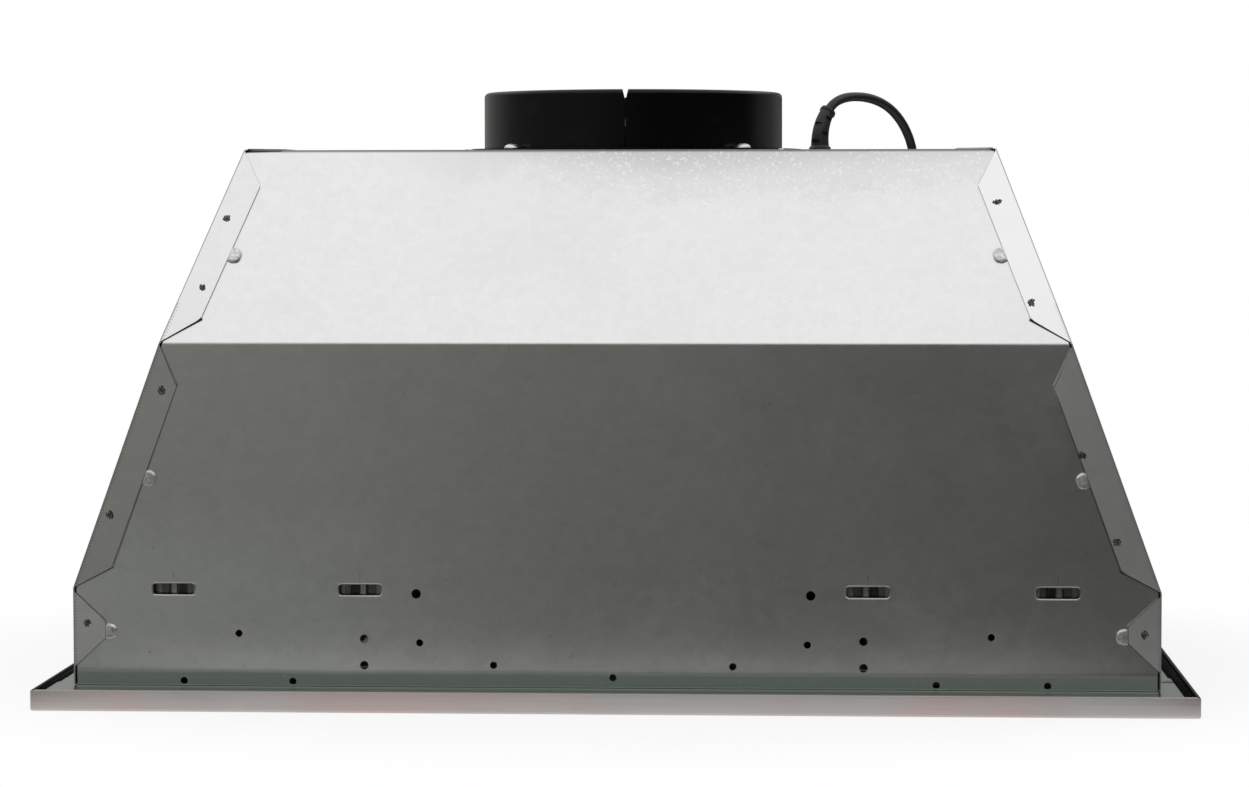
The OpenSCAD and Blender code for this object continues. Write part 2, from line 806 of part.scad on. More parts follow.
// Joining flange along a leaning edge, in the plane of the panel that it covers
function joining_flange(len, edge, lean, low_cut, high_cut) =
  [[edge + over, lap], [edge, lap],
    [edge - low_cut * lean - flange_span + corner_nip, low_cut - corner_nip / 2],
    [edge - low_cut * lean - flange_span, low_cut + corner_nip / 2],
    [edge - (len - high_cut) * lean - flange_span, len - high_cut - corner_nip / 2],
    [edge - (len - high_cut) * lean - flange_span + corner_nip / 2, len - high_cut + corner_nip / 2],
    [edge - (len - lap) * lean, len - lap], [edge - (len - lap) * lean + over, len - lap]];
module tab_shape() {
  polygon([[body_hw + over, tab_low], [body_hw, tab_low], [body_hw - flange_span, tab_low + flange_w],
    [body_hw - flange_span, bend_h - tab_rise - flange_w], [body_hw, bend_h - tab_rise],
    [body_hw + over, bend_h - tab_rise]]);
}

module side_panel() {
  roof = top_h + wrap;
  roof_x = half_at(roof);
  roof_front = top_front_y - wrap * front_sec;
  intersection() {
    union() {
      difference() {
        along_y(-body_d, body_d)
          polygon(folded([[body_hw - foot_w, base_top], [body_hw, base_top], [body_hw, bend_h],
            [roof_x, roof], [roof_x - top_flange_w, roof]], sheet_bend_r, sheet));
        for (side = [-1, 1])
          scale([1, side, 1])
            block([body_hw - foot_w - over, front_y - wrap - over, base_top - over],
              [body_hw - sheet - lap, front_y + foot_w + edge_gap, base_top + sheet_bend_r + sheet]);
        translate([0, 0, top_h])
          linear_extrude(wrap + over)
            for (ends = [[roof_front, 1], [rear_y + wrap, -1]])
              polygon([[roof_x - 2 * sheet, ends[0]], [roof_x - 2 * sheet, ends[0] - ends[1] * over],
                [roof_x - top_flange_w - over, ends[0] - ends[1] * over],
                [roof_x - top_flange_w - over, ends[0] + ends[1] * top_flange_w]]);
      }
      translate([0, front_y - lap, 0])
        rotate([90, 0, 0])
          linear_extrude(sheet) {
            translate([0, bend_h])
              polygon(joining_flange(knee_h - bend_h, body_hw, side_lean, flange_nip, flange_mitre));
            tab_shape();
          }
      on_slope()
        translate([0, 0, lap])
          linear_extrude(sheet)
            polygon(joining_flange(slope_len, half_at(knee_h), side_lean * sin(slope_angle),
              upper_low_cut, upper_high_cut));
      translate([0, rear_y + wrap, 0])
        rotate([90, 0, 0])
          linear_extrude(sheet) {
            translate([0, bend_h])
              polygon(joining_flange(top_h - bend_h, body_hw, side_lean, flange_nip, flange_mitre));
            tab_shape();
          }
    }
    along_y(-body_d, body_d)
      polygon(front_view(0));
    along_x(0, body_w)
      polygon(side_view(wrap));
  }
}
module side_panel_left() {
  color("lightgray")
    mirror([1, 0, 0])
      side_panel();
}
module side_panel_right() {
  color("lightgray")
    side_panel();
}

// Ledges under the filters' rear edges, on which the filters tilt
module filter_ledges() {
  color("silver")
    for (side = [-1, 1])
      scale([side, 1, 1]) {
        block([filter_x0, ledge_web_y, ledge_top - filter_sheet],
          [filter_x1, ledge_web_y + filter_sheet, panel_top + filter_sheet]);
        block([filter_x0, hinge_y, ledge_top - filter_sheet], [filter_x1, ledge_web_y, ledge_top]);
        block([filter_x0, ledge_web_y, panel_top],
          [filter_x1, base_in_hd - seat, panel_top + filter_sheet]);
      }
}

// Leaf springs whose noses press on the filters' front edges
module filter_catches() {
  nose_y = filter_y0 - catch_gap;
  color("dimgray")
    for (side = [-1, 1], share = catch_shares)
      translate([side * (filter_x0 + share * (filter_x1 - filter_x0)) - catch_w / 2, 0, 0])
        along_x(0, catch_w)
          polygon(folded([[opening_y0 - catch_foot, panel_top], [opening_y0 - lap, panel_top],
            [nose_y, panel_top + catch_rise], [opening_y0 - lap, panel_top + 2 * catch_rise]],
            [catch_sheet, catch_sheet], catch_sheet));
}

module bail_ear(x) {
  difference() {
    block([x, bail_y - ear_w / 2, bail_z - bail_r - ear_wall],
      [x + ear_w, bail_y + ear_w / 2, filter_z + filter_sheet / 2]);
    translate([-over, bail_y, bail_z])
      bar_x(x, x + ear_w + 2 * over, bail_r + running);
  }
}
ear_x = bail_w / 2 + bail_r + seat;
module filter_frame() {
  difference() {
    block([filter_x0, filter_y0, filter_z], [filter_x1, filter_y1, filter_top]);
    block([filter_x0 + filter_sheet, filter_y0 + filter_sheet, filter_z + filter_sheet],
      [filter_x1 - filter_sheet, filter_y1 - filter_sheet, filter_top - filter_sheet]);
    block([filter_x0 + filter_border, filter_y0 + filter_border, filter_z - over],
      [filter_x1 - filter_border, filter_y1 - filter_border, filter_top + over]);
  }
  bail_ear(filter_mid + ear_x);
  bail_ear(filter_mid - ear_x - ear_w);
}
module filter_frame_left() {
  color("silver")
    mirror([1, 0, 0])
      filter_frame();
}
module filter_frame_right() {
  color("silver")
    filter_frame();
}

module baffle_profile() {
  w = baffle_w / 2;
  t = filter_sheet;
  polygon([[-w, 0], [w, 0], [w, baffle_leg], [w - t, baffle_leg], [w - t, t], [t - w, t],
    [t - w, baffle_leg], [-w, baffle_leg]]);
}
module filter_baffles() {
  low = filter_z + filter_sheet + lap;
  high = filter_top - filter_sheet - lap;
  along_y(baffle_y0, baffle_y1)
    for (i = [0 : baffle_count - 1]) {
      x = filter_mid + (i - (baffle_count - 1) / 2) * baffle_pitch;
      translate([x, low])
        baffle_profile();
      if (i < baffle_count - 1)
        translate([x + baffle_pitch / 2, high])
          scale([1, -1])
            baffle_profile();
    }
}
module filter_baffles_left() {
  color("gray")
    mirror([1, 0, 0])
      filter_baffles();
}
module filter_baffles_right() {
  color("gray")
    filter_baffles();
}

// Wire bail that folds flat under the filter
module filter_bail() {
  half = bail_w / 2;
  reach = bail_l - bail_bend_r;
  translate([filter_mid, bail_y, bail_z]) {
    for (side = [-1, 1])
      scale([side, 1, 1]) {
        bar_x(half, ear_x + ear_w + seat, bail_r);
        translate([half, 0, 0])
          sphere(bail_r);
        translate([half, reach, 0])
          rotate([90, 0, 0])
            cylinder(r = bail_r, h = reach);
        translate([half - bail_bend_r, reach, 0])
          rotate_extrude(angle = 90)
            translate([bail_bend_r, 0])
              circle(bail_r);
      }
    translate([0, bail_l, 0])
      bar_x(bail_bend_r - half, half - bail_bend_r, bail_r);
  }
}
module filter_bail_left() {
  color("lightgray")
    mirror([1, 0, 0])
      filter_bail();
}
module filter_bail_right() {
  color("lightgray")
    filter_bail();
}

// Lamps: bezel from below, lens in the bezel, finned housing on the panel
module at_lamp(side) {
  translate([side * lamp_x, band_y, 0])
    children();
}
module lamp_bezel(side) {
  foot = panel_z - lamp_drop;
  edge = lamp_hole_r + lamp_flange_w;
  color("lightgray")
    at_lamp(side)
      rotate_extrude()
        polygon([[lamp_bore_r - lamp_lip, foot], [edge - lamp_lip, foot], [edge, foot + lamp_lip],
          [edge, panel_z], [lamp_neck_r, panel_z], [lamp_neck_r, panel_top + lamp_drop],
          [lamp_bore_r, panel_top + lamp_drop], [lamp_bore_r, foot + lamp_lip_h],
          [lamp_bore_r - lamp_lip, foot + lamp_lip_h]]);
}
module lamp_lens(side) {
  color("ivory")
    at_lamp(side)
      translate([0, 0, panel_z - lamp_drop + lamp_lip_h + lap])
        cylinder(r = lens_r, h = lens_t);
}
module lamp_housing(side) {
  outer = lamp_hole_r + lamp_wall;
  color("dimgray")
    at_lamp(side)
      translate([0, 0, panel_top])
        difference() {
          cylinder(r = outer, h = lamp_h);
          translate([0, 0, -over])
            cylinder(r = lamp_neck_r + seat, h = lamp_cavity_h + over);
          for (i = [0 : lamp_fins - 1])
            rotate([0, 0, 360 * i / lamp_fins])
              translate([outer - fin_depth, -fin_t / 2, lamp_cavity_h + lamp_wall])
                cube([fin_depth + over, fin_t, lamp_h]);
        }
}
module lamp_bezel_left() lamp_bezel(-1);
module lamp_lens_left() lamp_lens(-1);
module lamp_housing_left() lamp_housing(-1);
module lamp_bezel_right() lamp_bezel(1);
module lamp_lens_right() lamp_lens(1);
module lamp_housing_right() lamp_housing(1);

// Controls: bezel, five push buttons, switch board and cover
function button_x(i) = (i - (button_count - 1) / 2) * button_pitch;
post_y = bezel_opening_d / 2 - post_r - lap;
module at_posts() {
  for (x = [-1, 1], y = [-1, 1])
    translate([x * post_x, band_y + y * post_y, 0])
      children();
}
module control_bezel() {
  color("silver")
    difference() {
      union() {
        translate([0, band_y, bezel_z])
          linear_extrude(bezel_t)
            difference() {
              rounded_rect(bezel_w, bezel_d, bezel_round);
              for (i = [0 : button_count - 1])
                translate([button_x(i), 0])
                  rounded_rect(button_w + 2 * button_gap, button_d + 2 * button_gap,
                    button_round + button_gap);
            }
        at_posts()
          translate([0, 0, bezel_z + bezel_t / 2])
            cylinder(r = post_r, h = board_z - bezel_z - bezel_t / 2);
      }
      at_posts()
        translate([0, 0, board_z - board_screw_l - seat])
          cylinder(r = shank_r - 2 * running, h = board_screw_l + over);
    }
}
module push_button(i) {
  foot = bezel_z - button_proud;
  flange_z = panel_z + seat;
  color("dimgray")
    translate([button_x(i), band_y, 0]) {
      translate([0, 0, foot])
        linear_extrude(flange_z - foot)
          rounded_rect(button_w, button_d, button_round);
      translate([0, 0, flange_z])
        linear_extrude(button_flange_t)
          rounded_rect(button_w + 2 * button_flange, button_d + 2 * button_flange, button_round);
      block([-stem_w / 2, -stem_w / 2, flange_z],
        [stem_w / 2, stem_w / 2, board_z - switch_h + switch_engage]);
    }
}
module button_fan_off() push_button(0);
module button_fan_low() push_button(1);
module button_fan_medium() push_button(2);
module button_fan_high() push_button(3);
module button_light() push_button(4);
module switch_board() {
  hole = stem_w + 2 * button_gap;
  color("darkgreen")
    translate([0, band_y, 0])
      difference() {
        union() {
          block([-post_x - post_r, -post_y - post_r, board_z],
            [post_x + post_r, post_y + post_r, board_z + board_t]);
          for (i = [0 : button_count - 1])
            block([button_x(i) - switch_w / 2, -switch_w / 2, board_z - switch_h],
              [button_x(i) + switch_w / 2, switch_w / 2, board_z]);
        }
        for (i = [0 : button_count - 1])
          block([button_x(i) - hole / 2, -hole / 2, board_z - switch_h - over],
            [button_x(i) + hole / 2, hole / 2, board_z - switch_h + switch_engage + 2 * button_travel]);
        for (x = [-post_x, post_x], y = [-post_y, post_y])
          translate([x, y, board_z - over])
            cylinder(r = shank_r, h = board_t + 2 * over);
      }
}
module control_cover() {
  color("gainsboro")
    difference() {
      block([-cover_hw, band_y - cover_hd, panel_top], [cover_hw, band_y + cover_hd, panel_top + cover_h]);
      block([cover_wall - cover_hw, band_y - cover_hd + cover_wall, panel_top - over],
        [cover_hw - cover_wall, band_y + cover_hd - cover_wall, panel_top + cover_h - cover_wall]);
      translate([0, cover_hole_y, lead_run_z])
        bar_x(cover_hw - cover_wall - over, cover_hw + over, lead_r + cord_clear);
    }
}

// Blower: scroll wrap with its outlet, end plates and inlet ring
function scroll_at(a) =
  tongue_r + (scroll_r - tongue_r) * (a - tongue_angle) / (360 - tongue_angle);
module scroll_shape(off, rise) {
  polygon([for (i = [0 : scroll_steps])
    let (a = tongue_angle + (360 - tongue_angle) * i / scroll_steps)
    around([wheel_y, wheel_z], scroll_at(a) + off, a)]);
  polygon([[neck_y0 - off, wheel_z], [neck_y1 + off, wheel_z], [neck_y1 + off, neck_top + rise],
    [neck_y0 - off, neck_top + rise]]);
}
module at_wheel() {
  translate([0, wheel_y, wheel_z])
    children();
}
module blower_scroll() {
  color("lightgray") {
    along_x(-plate_x, plate_x)
      difference() {
        scroll_shape(blower_sheet, blower_sheet);
        scroll_shape(0, over);
      }
    translate([0, collar_y, neck_top])
      difference() {
        linear_extrude(blower_sheet)
          difference() {
            square(outlet_side, center = true);
            square([scroll_w, neck_d], center = true);
          }
        translate([0, 0, -over]) {
          screw_ring()
            cylinder(r = shank_r + running, h = blower_sheet + 2 * over);
          blower_corners()
            cylinder(r = shank_r + running, h = blower_sheet + 2 * over);
        }
      }
  }
}
module blower_inlet_plate() {
  color("lightgray")
    difference() {
      along_x(-plate_x - blower_sheet, -plate_x)
        scroll_shape(blower_sheet, 0);
      at_wheel()
        bar_x(-plate_x - blower_sheet - over, -plate_x + over, inlet_r);
    }
}
module motor_screw_ring() {
  for (i = [0 : motor_screw_count - 1])
    rotate([360 * i / motor_screw_count, 0, 0])
      translate([0, 0, motor_screw_r])
        children();
}
module blower_motor_plate() {
  color("lightgray")
    difference() {
      along_x(plate_x, plate_x + blower_sheet)
        scroll_shape(blower_sheet, 0);
      at_wheel() {
        bar_x(plate_x - over, plate_x + blower_sheet + over, shaft_hole_r);
        motor_screw_ring()
          bar_x(plate_x - over, plate_x + blower_sheet + over, shank_r + running);
      }
    }
}
module inlet_ring() {
  throat = inlet_r - ring_bell_r - ring_t - seat;
  color("gray")
    at_wheel()
      translate([-plate_x - blower_sheet, 0, 0])
        rotate([0, -90, 0])
          rotate_extrude()
            polygon(folded([[inlet_r + ring_flange_w, ring_t], [throat, ring_t], [throat, -ring_throat]],
              ring_bell_r, ring_t));
}

// Fan wheel with forward-curved blades on a hub
module blade_shape() {
  inner = wheel_r - seat - blade_depth;
  polygon(concat(
    [for (s = blade_shares) around([0, 0], inner + s * blade_depth, blade_sweep * s * s)],
    [for (s = reversed(blade_shares))
      let (r = inner + s * blade_depth)
      around([0, 0], r, blade_sweep * s * s + atan(blade_t / r))]));
}
module impeller() {
  color("darkgray")
    at_wheel()
      difference() {
        union() {
          bar_x(wheel_x1 - disc_t, wheel_x1, wheel_r);
          difference() {
            bar_x(wheel_x0, wheel_x0 + disc_t, wheel_r);
            bar_x(wheel_x0 - over, wheel_x0 + disc_t + over, wheel_r - shroud_w);
          }
          along_x(wheel_x0 + disc_t / 2, wheel_x1 - disc_t / 2)
            for (k = [0 : blade_count - 1])
              rotate(360 * k / blade_count)
                blade_shape();
          bar_x(wheel_x1 - hub_l, wheel_x1, hub_r);
        }
        bar_x(wheel_x1 - hub_l - over, wheel_x1 + over, shaft_r + running);
      }
}
module motor_shaft() {
  color("silver")
    at_wheel()
      bar_x(wheel_x1 - hub_l - shaft_r, shaft_end, shaft_r);
}
module motor() {
  can_x = motor_x + motor_flange_t;
  end_x = can_x + motor_l;
  color("slategray")
    at_wheel()
      difference() {
        union() {
          bar_x(motor_x - motor_boss_r, motor_x + over, motor_boss_r);
          bar_x(motor_x, can_x, motor_flange_r);
          bar_x(can_x, end_x, motor_r);
          bar_x(end_x, end_x + motor_cap_t, motor_r - vent_w);
        }
        bar_x(motor_x - motor_boss_r - over, shaft_end + over, shaft_r + running);
        motor_screw_ring()
          bar_x(motor_x - over, can_x + over, shank_r + running);
        for (i = [0 : motor_vents - 1])
          rotate([360 * i / motor_vents, 0, 0])
            block([end_x + vent_w / 2, -vent_w / 2, motor_r / 2],
              [end_x + motor_cap_t + over, vent_w / 2, motor_r]);
      }
}
module capacitor() {
  color("whitesmoke")
    translate([cap_x, cap_y, cap_z])
      bar_x(0, cap_l, cap_r);
}
module capacitor_clip() {
  outer = cap_r + lap + clip_t;
  roof = top_h - sheet;
  color("silver")
    difference() {
      union() {
        translate([cap_x + (cap_l - clip_w) / 2, cap_y, cap_z])
          bar_x(0, clip_w, outer);
        block([cap_x + (cap_l - clip_w) / 2, cap_y - outer - clip_foot, roof - clip_t],
          [cap_x + (cap_l + clip_w) / 2, cap_y + outer + clip_foot, roof]);
      }
      translate([cap_x - over, cap_y, cap_z])
        bar_x(0, cap_l + 2 * over, cap_r + lap);
    }
}

// Duct collar with a notch, a slit and an inner stop ledge
module duct_collar() {
  rim = top_h + collar_h;
  rod_half = collar_in_r + collar_wall / 2 + seat;
  color("black")
    difference() {
      translate([0, collar_y, 0])
        rotate_extrude($fn = 128)
          polygon(concat([[collar_in_r, top_h], [collar_flange_r, top_h],
            [collar_flange_r, top_h + collar_flange_t], [collar_r, top_h + collar_flange_t]],
            [for (a = [0 : 15 : 90])
              around([collar_r - collar_round, rim - collar_round], collar_round, a)],
            [[collar_in_r, rim], [collar_in_r, stop_z], [collar_in_r - stop_w, stop_z],
            [collar_in_r - stop_w, stop_z - stop_t], [collar_in_r, stop_z - stop_t]]));
      along_y(collar_y - collar_r - over, collar_y - collar_in_r + over)
        polygon([[-notch_w / 2, rim], [-notch_w / 2, rim + over], [notch_w / 2, rim + over],
          [notch_w / 2, rim], [slit_w / 2, rim - notch_d], [slit_w / 2, top_h + collar_flange_t + lap],
          [-slit_w / 2, top_h + collar_flange_t + lap], [-slit_w / 2, rim - notch_d]]);
      translate([0, collar_y + rod_half, rod_z])
        rotate([90, 0, 0])
          cylinder(r = rod_r + running, h = 2 * rod_half);
      translate([0, collar_y, top_h - over])
        screw_ring()
          cylinder(r = shank_r + running, h = collar_flange_t + 2 * over);
    }
}

// Damper: a rod across the collar with two half flaps, each on two straps curled round the rod
module damper_rod() {
  half = collar_in_r + collar_wall / 2;
  color("silver")
    translate([0, collar_y + half, rod_z])
      rotate([90, 0, 0])
        cylinder(r = rod_r, h = 2 * half);
}
function knuckle_y(share) = collar_y + flap_r * (2 * share - 1);
module damper_flap(own) {
  translate([0, 0, flap_z])
    linear_extrude(flap_t)
      intersection() {
        translate([0, collar_y])
          circle(flap_r);
        translate([knuckle_r + rod_gap, collar_y - flap_r])
          square([flap_r, 2 * flap_r]);
      }
  for (k = own)
    translate([0, knuckle_y(knuckle_shares[k]) + knuckle_l / 2, 0])
      rotate([90, 0, 0])
        linear_extrude(knuckle_l)
          difference() {
            union() {
              translate([0, rod_z])
                circle(knuckle_r);
              translate([0, flap_z + flap_t + lap])
                square([strap_l, flap_t]);
            }
            translate([0, rod_z])
              circle(rod_r + running);
          }
}
module damper_flap_left() {
  color("dimgray")
    mirror([1, 0, 0])
      damper_flap([1, 3]);
}
module damper_flap_right() {
  color("dimgray")
    damper_flap([0, 2]);
}

// Junction box under the top plate, with a lid from below
module at_junction_tabs() {
  for (p = [[junction_x0, junction_y1 - junction_tab], [junction_x1 - junction_tab, junction_y0]])
    translate([p[0], p[1], junction_z])
      children();
}
module junction_box() {
  t = junction_sheet;
  color("silver")
    difference() {
      union() {
        difference() {
          block([junction_x0, junction_y0, junction_z], [junction_x1, junction_y1, top_h - sheet]);
          block([junction_x0 + t, junction_y0 + t, junction_z - over],
            [junction_x1 - t, junction_y1 - t, top_h - sheet - t]);
        }
        at_junction_tabs()
          cube([junction_tab, junction_tab, junction_tab_t]);
      }
      translate([boot_x, boot_y, junction_z + junction_tab_t])
        cylinder(r = boot_hole_r, h = junction_h);
      translate([0, boot_y, lead_start_z])
        bar_x(junction_x1 - t - over, junction_x1 + over, lead_r + cord_clear);
      translate([junction_x0 + junction_w / 3, junction_y0 + t + over, lead_start_z])
        rotate([90, 0, 0])
          cylinder(r = lead_r + cord_clear, h = t + 2 * over);
      at_junction_tabs()
        translate([junction_tab / 2, junction_tab / 2, -over])
          cylinder(r = shank_r + running, h = junction_tab_t + 2 * over);
    }
}
module junction_cover() {
  t = junction_sheet;
  color("silver")
    difference() {
      block([junction_x0, junction_y0, junction_z - t], [junction_x1, junction_y1, junction_z]);
      at_junction_tabs()
        translate([junction_tab / 2, junction_tab / 2, -t - over])
          cylinder(r = shank_r + running, h = t + 2 * over);
    }
}

// Leads inside the canopy, from the junction box to the motor and to the controls
module motor_lead() {
  x0 = junction_x0 + junction_w / 3;
  x = motor_x + motor_flange_t + motor_l - motor_r / 2;
  y = wheel_y + motor_r + lead_r + cord_clear;
  color("dimgray")
    tube([[x0, junction_y0 + 2 * lead_r, lead_start_z], [x0, junction_y0 - 3 * lead_r, lead_start_z],
      [x0 - 2 * lead_r, junction_y0 - 9 * lead_r, lead_start_z - 3 * lead_r],
      [x, y + 12 * lead_r, wheel_z + motor_r], [x, y + 4 * lead_r, wheel_z + motor_r / 3],
      [x, y + 2 * lead_r, wheel_z + 2 * lead_r], [x, y + lead_r, wheel_z],
      [x, y - lead_r, wheel_z]], lead_r, cord_sides);
}
module control_lead() {
  x = junction_x1;
  y = -base_in_hd;
  run_x = (opening_x1 + base_in_hw) / 2;
  side_x = half_at(knee_h) - 8 * lead_r;
  color("dimgray")
    tube([[x - 2 * lead_r, boot_y, lead_start_z], [x + 3 * lead_r, boot_y, lead_start_z],
      [x + 8 * lead_r, boot_y, lead_start_z - 5 * lead_r], [side_x, boot_y, knee_h],
      [run_x - 2 * lead_r, boot_y, bend_h], [run_x, boot_y, lead_run_z + 8 * lead_r],
      [run_x, boot_y - 3 * lead_r, lead_run_z + 2 * lead_r], [run_x, boot_y - 8 * lead_r, lead_run_z],
      [run_x, 0, lead_run_z], [run_x, y + 9 * lead_r, lead_run_z],
      [run_x - 3 * lead_r, y + 3 * lead_r, lead_run_z], [run_x - 9 * lead_r, y, lead_run_z],
      [cover_hw + 16 * lead_r, y, lead_run_z], [cover_hw + 11 * lead_r, y + 3 * lead_r, lead_run_z],
      [cover_hw + 6 * lead_r, cover_hole_y - 2 * lead_r, lead_run_z],
      [cover_hw + 2 * lead_r, cover_hole_y, lead_run_z],
      [cover_hw - 2 * lead_r, cover_hole_y, lead_run_z]], lead_r, cord_sides, [0, 0, 1]);
}

// Strain relief boot: a nut, a neck through the plates and leaning rings
boot_radius = boot_rise / sin(boot_lean);
function boot_point(a) =
  [boot_x + boot_radius * (1 - cos(a)) * cos(boot_heading),
    boot_y + boot_radius * (1 - cos(a)) * sin(boot_heading),
    top_h + boot_base_h + boot_radius * sin(a)];
module cord_boot() {
  step = boot_lean / boot_rings;
  ring_l = boot_radius * step * PI / 180 * ring_share;
  taper = (boot_low_r - boot_tip_r) / (boot_rings - 1);
  core_r = cord_r + boot_skin;
  inside = sheet + junction_sheet + lap;
  color("black") {
    translate([boot_x, boot_y, top_h])
      rotate_extrude()
        polygon([[0, -inside - boot_nut_h], [boot_base_r, -inside - boot_nut_h], [boot_base_r, -inside],
          [boot_low_r, -inside], [boot_low_r, 0], [boot_base_r, 0], [boot_base_r, boot_base_h / 2],
          [boot_low_r, boot_base_h], [0, boot_base_h]]);
    translate([boot_x, boot_y, top_h + boot_base_h])
      rotate([90, 0, boot_heading])
        translate([boot_radius, 0, 0])
          rotate([0, 0, 180 - boot_lean])
            rotate_extrude(angle = boot_lean)
              translate([boot_radius, 0])
                circle(core_r);
    for (i = [0 : boot_rings - 1])
      translate(boot_point((i + 1) * step))
        rotate([0, (i + 1) * step, boot_heading])
          translate([0, 0, -ring_l])
            cylinder(r = boot_low_r - i * taper, h = ring_l);
  }
}

// Supply cord
module power_cord() {
  color("black")
    tube(cord_route, cord_r, cord_sides);
}

// Coil on the floor: two turns in, half a turn up a layer, then out again
coil_turns = coil_turns_in + coil_turns_climb + coil_turns_out;
coil_turn_back = coil_turns_in + coil_turns_climb / 2;
function coil_radius(t) = coil_r - coil_pitch * (coil_turn_back - abs(t - coil_turn_back));
function coil_height(t) =
  coil_z + coil_pitch * min(1, max(0, (t - coil_turns_in) / coil_turns_climb));
function coil_point(t) =
  let (r = coil_radius(t), a = 360 * t)
  [coil_centre[0] + r * cos(a), coil_centre[1] + r * sin(a), coil_height(t)];
coil_steps = coil_turns * coil_rings;
coil_path = [for (i = [0 : coil_steps]) coil_point(i / coil_rings)];
coil_end = coil_path[len(coil_path) - 1];
coil_lead_in = coil_path[0] - [0, cord_d, 0];
coil_lead_out = coil_end - [cord_d, 0, 0];
coil_line = concat([coil_lead_in], coil_path, [coil_lead_out]);
coil_last = len(coil_path) - 1;
coil_gap = min([for (i = [0 : coil_last - coil_rings / 2], j = [i + coil_rings / 2 : coil_last])
  norm(coil_path[i] - coil_path[j])]) - cord_d;
echo(coil_gap = coil_gap);
function path_length(p) = len(p) < 2 ? 0
  : [for (i = 1, s = norm(p[1] - p[0]); i < len(p);
    i = i + 1, s = s + (i < len(p) ? norm(p[i] - p[i - 1]) : 0)) s][len(p) - 2];
echo(cord_lengths = [path_length(cord_route), path_length(coil_line), tail_l]);
module cord_coil() {
  color("black")
    tube(coil_line, cord_r, coil_sides, [0, 0, 1]);
}
plug_back = coil_lead_out + [-tail_l, 0, tail_z - coil_lead_out[2]];
module cord_tail() {
  rise = tail_z - coil_lead_out[2];
  straight = cord_d / tail_l;
  color("black")
    tube([for (s = [0, straight / 2, straight, 0.3, 0.5, 0.7, 1 - straight, 1 - straight / 2, 1])
      let (u = min(1, max(0, (s - straight) / (1 - 2 * straight))))
      coil_lead_out + [-s * tail_l, 0, rise * (1 - cos(180 * u)) / 2]], cord_r, cord_sides, [0, 0, 1]);
}

// Plug with two flat blades and a ground pin
module at_plug() {
  translate(plug_back)
    rotate([0, -90, 0])
      children();
}
module plug() {
  color("black")
    at_plug() {
      cylinder(r1 = cord_r + lap + blade_thick, r2 = plug_h / 3, h = plug_relief_l);
      translate([0, 0, plug_relief_l])
        difference() {
          linear_extrude(plug_l)
            rounded_rect(plug_h, plug_w, plug_h / 4);
          plug_pins(plug_l - blade_thick, lap);
        }
    }
}
module plug_pins(from, gap) {
  for (side = [-1, 1])
    translate([-ground_drop / 4, side * blade_space / 2, from])
      linear_extrude(plug_l + blade_l - from)
        square([blade_w + 2 * gap, blade_thick + 2 * gap], center = true);
  translate([ground_drop / 2, 0, from])
    cylinder(r = ground_r + gap, h = plug_l + ground_l - from);
}
module plug_blades() {
  color("gold")
    at_plug()
      translate([0, 0, plug_relief_l])
        plug_pins(plug_l - blade_thick, 0);
}

// Fasteners
collar_screw_l = collar_flange_t + sheet + blower_sheet + 2 * seat;
module collar_screws() {
  color("lightgray")
    translate([0, collar_y, top_h + collar_flange_t])
      screw_ring()
        pan_screw(collar_head_r, collar_head_h, shank_r, collar_screw_l);
}
module blower_screws() {
  color("lightgray")
    translate([0, collar_y, top_h])
      blower_corners()
        pan_screw(small_head_r, small_head_h, shank_r, sheet + 2 * blower_sheet);
}
module motor_screws() {
  color("lightgray")
    at_wheel()
      motor_screw_ring()
        translate([motor_x + motor_flange_t, 0, 0])
          rotate([0, 90, 0])
            pan_screw(small_head_r, small_head_h, shank_r, motor_flange_t + 2 * blower_sheet);
}
module junction_screws() {
  color("lightgray")
    at_junction_tabs()
      translate([junction_tab / 2, junction_tab / 2, -junction_sheet])
        rotate([180, 0, 0])
          pan_screw(small_head_r, small_head_h, shank_r, junction_sheet + junction_tab_t);
}
module board_screws() {
  color("lightgray")
    at_posts()
      translate([0, 0, board_z + board_t])
        pan_screw(small_head_r, small_head_h, shank_r - 3 * running, board_t + board_screw_l - seat);
}

bottom_trim();
bottom_panel();
base_frame();
front_panel();
rear_panel();
side_panel_left();
side_panel_right();
filter_ledges();
filter_catches();
filter_frame_left();
filter_baffles_left();
filter_bail_left();
filter_frame_right();
filter_baffles_right();
filter_bail_right();
lamp_bezel_left();
lamp_lens_left();
lamp_housing_left();
lamp_bezel_right();
lamp_lens_right();
lamp_housing_right();
control_bezel();
button_fan_off();
button_fan_low();
button_fan_medium();
button_fan_high();
button_light();
switch_board();
control_cover();
blower_scroll();
blower_inlet_plate();
blower_motor_plate();
inlet_ring();
impeller();
motor_shaft();
motor();
capacitor();
capacitor_clip();
duct_collar();
damper_rod();
damper_flap_left();
damper_flap_right();
junction_box();
junction_cover();
motor_lead();
control_lead();
cord_boot();
power_cord();
cord_coil();
cord_tail();
plug();
plug_blades();
collar_screws();
blower_screws();
motor_screws();
junction_screws();
board_screws();
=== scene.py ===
"""Looks of a built-in range hood: folded zinc canopy on a stainless rim, with its collar, cord and works."""

import logging
import math
import random
from dataclasses import dataclass
from enum import Enum
from typing import Callable

import bmesh
import bpy
from mathutils import Matrix, Vector


